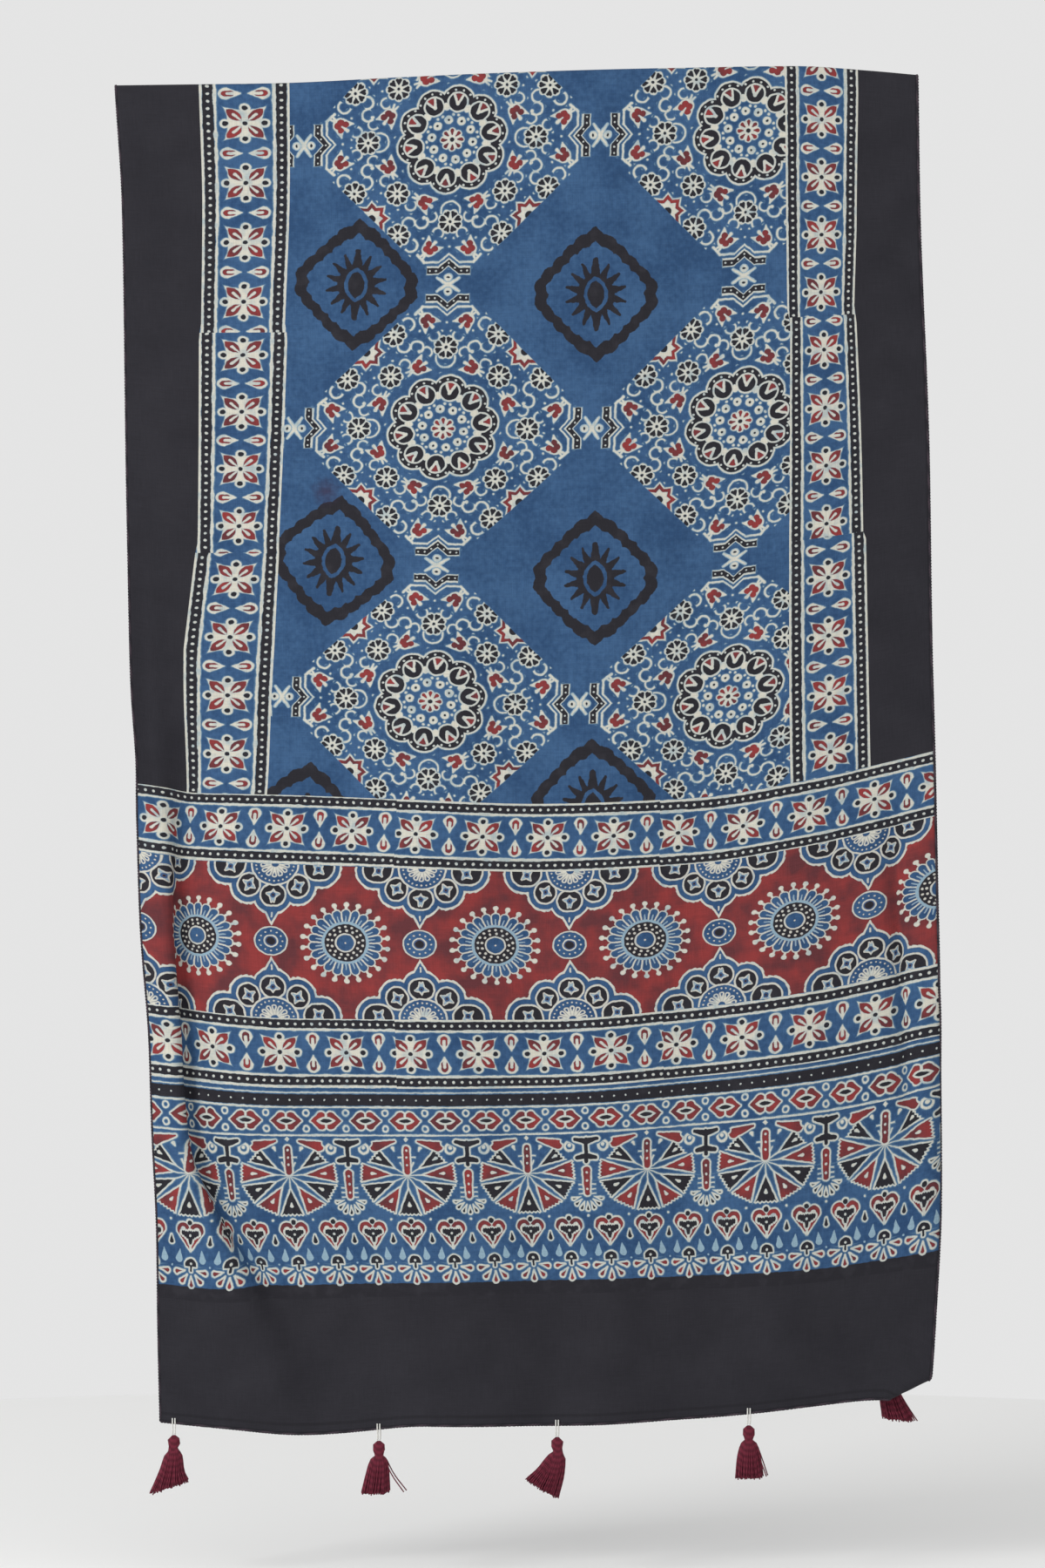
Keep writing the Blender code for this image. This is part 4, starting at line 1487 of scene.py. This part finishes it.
def make_tassel(number, top, tassel, finish):
    """A tassel of loose thread: strands gathered over the loop, bound below the knob, then fanned out."""
    random = np.random.default_rng(number)
    tubes = []
    for strand in range(STRANDS):
        share = math.sqrt((strand + 0.5) / STRANDS)
        across, depth = share * math.cos(strand * GOLDEN_ANGLE), share * math.sin(strand * GOLDEN_ANGLE)
        jitter = random.normal(0, 1, 4)
        length = SKIRT_LENGTH - tassel.slant * across + 0.0008 * jitter[0]
        stray = tassel.stray if strand >= STRANDS - STRAYS else 0.0
        levels, widths = np.array([*LEVELS, HEAD_LENGTH + length]), np.array([*WIDTHS, tassel.width])
        down = np.clip((levels - HEAD_LENGTH) / length, 0, 1)
        x = top[0] + across * widths + tassel.sweep * down**1.3 + (0.0004 * jitter[1] + stray) * down**2
        y = top[1] + depth * widths * FLATNESS + 0.0005 * jitter[2] * down
        wave = 0.0003 * np.sin(levels * 380 + jitter[3] * 3) * down
        path = np.column_stack([x + wave, y, top[2] - levels])
        tubes.append(tube(smooth_path(path, STRAND_RINGS), STRAND_RADIUS, 4))
    angles = np.linspace(0, 2 * math.pi, BINDING_POINTS)
    for turn in range(BINDINGS):
        height = top[2] - HEAD_LENGTH + (turn - (BINDINGS - 1) / 2) * BINDING_PITCH
        level = np.full(BINDING_POINTS, height)
        ring = np.column_stack([top[0] + 0.0026 * np.cos(angles), top[1] + 0.0020 * np.sin(angles), level])
        tubes.append(tube(ring, BINDING_RADIUS, 5))
    return thread_object(f"threads_{number}", tubes, finish, STRAND_PLY)


def hang_tassels(maroon, white):
    for number, tassel in enumerate(TASSELS, 1):
        loop = make_loop(number, tassel, white)
        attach(loop, "root")
        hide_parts(f"tassel_loop_{number}")
        low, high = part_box(f"tassel_{number}")
        at = hem_frame(tassel.across)[0]
        depth = (low.y + high.y) / 2 if tassel is TASSELS[-1] else at[1]
        threads = make_tassel(number, (at[0], depth, high.z + STRAND_TOP), tassel, maroon)
        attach(threads, "root")
        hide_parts(f"tassel_{number}")


# ---------------------------------------------------------------- the studio

CAMERA_AT = Vector((0.0037, -4.0, -0.4978))
VIEW_HEIGHT = 1.098
SENSOR = 36.0
FLOOR_GAP = 0.06
FLOOR_RADIUS = 1.25
FLOOR_SIDES = 96
FLOOR_COLOUR = srgb(240, 240, 239)
KEY_AT, KEY_AIM, KEY_SIZE, KEY_POWER = (-2.0, -1.9, 0.35), (0.0, 0.0, -0.5), 1.0, 44.0
SKY_COLOUR, SKY_STRENGTH = (1.0, 1.0, 1.0, 1.0), 0.78
# For each thread: its colour with a painted highlight on top of the plies, then with painted shade between
# them.
HEM_PAINTED_LIT, HEM_PAINTED_SHADE = srgb(62, 52, 60), srgb(34, 32, 38)
MAROON_PAINTED_LIT, MAROON_PAINTED_SHADE = srgb(114, 38, 56), srgb(84, 25, 40)
WHITE_PAINTED_LIT, WHITE_PAINTED_SHADE = srgb(224, 223, 218), srgb(209, 208, 203)


def make_floor(level):
    """A round pale floor under the hanging cloth."""
    finish, shader = start_material("pale_floor", 0.9)
    shader.inputs["Base Color"].default_value = FLOOR_COLOUR
    turns = [2 * math.pi * side / FLOOR_SIDES for side in range(FLOOR_SIDES)]
    rim = [(FLOOR_RADIUS * math.cos(turn), FLOOR_RADIUS * math.sin(turn), level) for turn in turns]
    mesh = bpy.data.meshes.new("floor")
    mesh.from_pydata(rim, [], [tuple(range(FLOOR_SIDES))])
    mesh.materials.append(finish)
    return add_object("floor", mesh)


def set_lights():
    """One soft key light from the left, and an even white sky."""
    data = bpy.data.lights.new("key", "AREA")
    data.size, data.energy = KEY_SIZE, KEY_POWER
    key = add_object("key", data)
    key.location = KEY_AT
    key.rotation_euler = (Vector(KEY_AIM) - Vector(KEY_AT)).to_track_quat("-Z", "Y").to_euler()
    world = bpy.data.worlds.new("studio")
    world.use_nodes = True
    background = world.node_tree.nodes["Background"]
    background.inputs["Color"].default_value = SKY_COLOUR
    background.inputs["Strength"].default_value = SKY_STRENGTH
    bpy.context.scene.world = world


def set_camera():
    data = bpy.data.cameras.new("camera")
    data.sensor_fit = "VERTICAL"
    data.sensor_height = SENSOR
    data.lens = SENSOR * abs(CAMERA_AT.y) / VIEW_HEIGHT
    data.clip_end = 50
    made = add_object("camera", data)
    made.location, made.rotation_euler = CAMERA_AT, (math.pi / 2, 0, 0)
    bpy.context.scene.camera = made


def as_lists(bounds):
    return [[float(value) for value in corner] for corner in bounds]


def main():
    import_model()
    packed = as_lists(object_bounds())
    finishes = [
        printed("plain_black", "black"),
        printed("star_border", "blue", print=draw_stars),
        printed("medallion_field", "blue", print=draw_field, shield=draw_shield),
        printed("rosette_band", "red", print=draw_rosettes),
        printed("stripe_chain", "blue", print=draw_chain),
        printed("fans_hearts", "blue", print=draw_fans),
    ]
    cloth = make_cloth(finishes)
    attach(cloth, "root")
    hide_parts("cloth")
    hems = make_hems(thread_material("hem_thread", HEM_PAINTED_LIT, HEM_PAINTED_SHADE, 0.85))
    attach(hems, "root")
    maroon = thread_material("maroon_thread", MAROON_PAINTED_LIT, MAROON_PAINTED_SHADE, 0.8)
    white = thread_material("white_cotton_thread", WHITE_PAINTED_LIT, WHITE_PAINTED_SHADE, 0.8)
    hang_tassels(maroon, white)
    make_floor(packed[0][2] - FLOOR_GAP)
    set_lights()
    set_camera()
    bpy.context.scene.view_settings.view_transform = "Standard"


main()
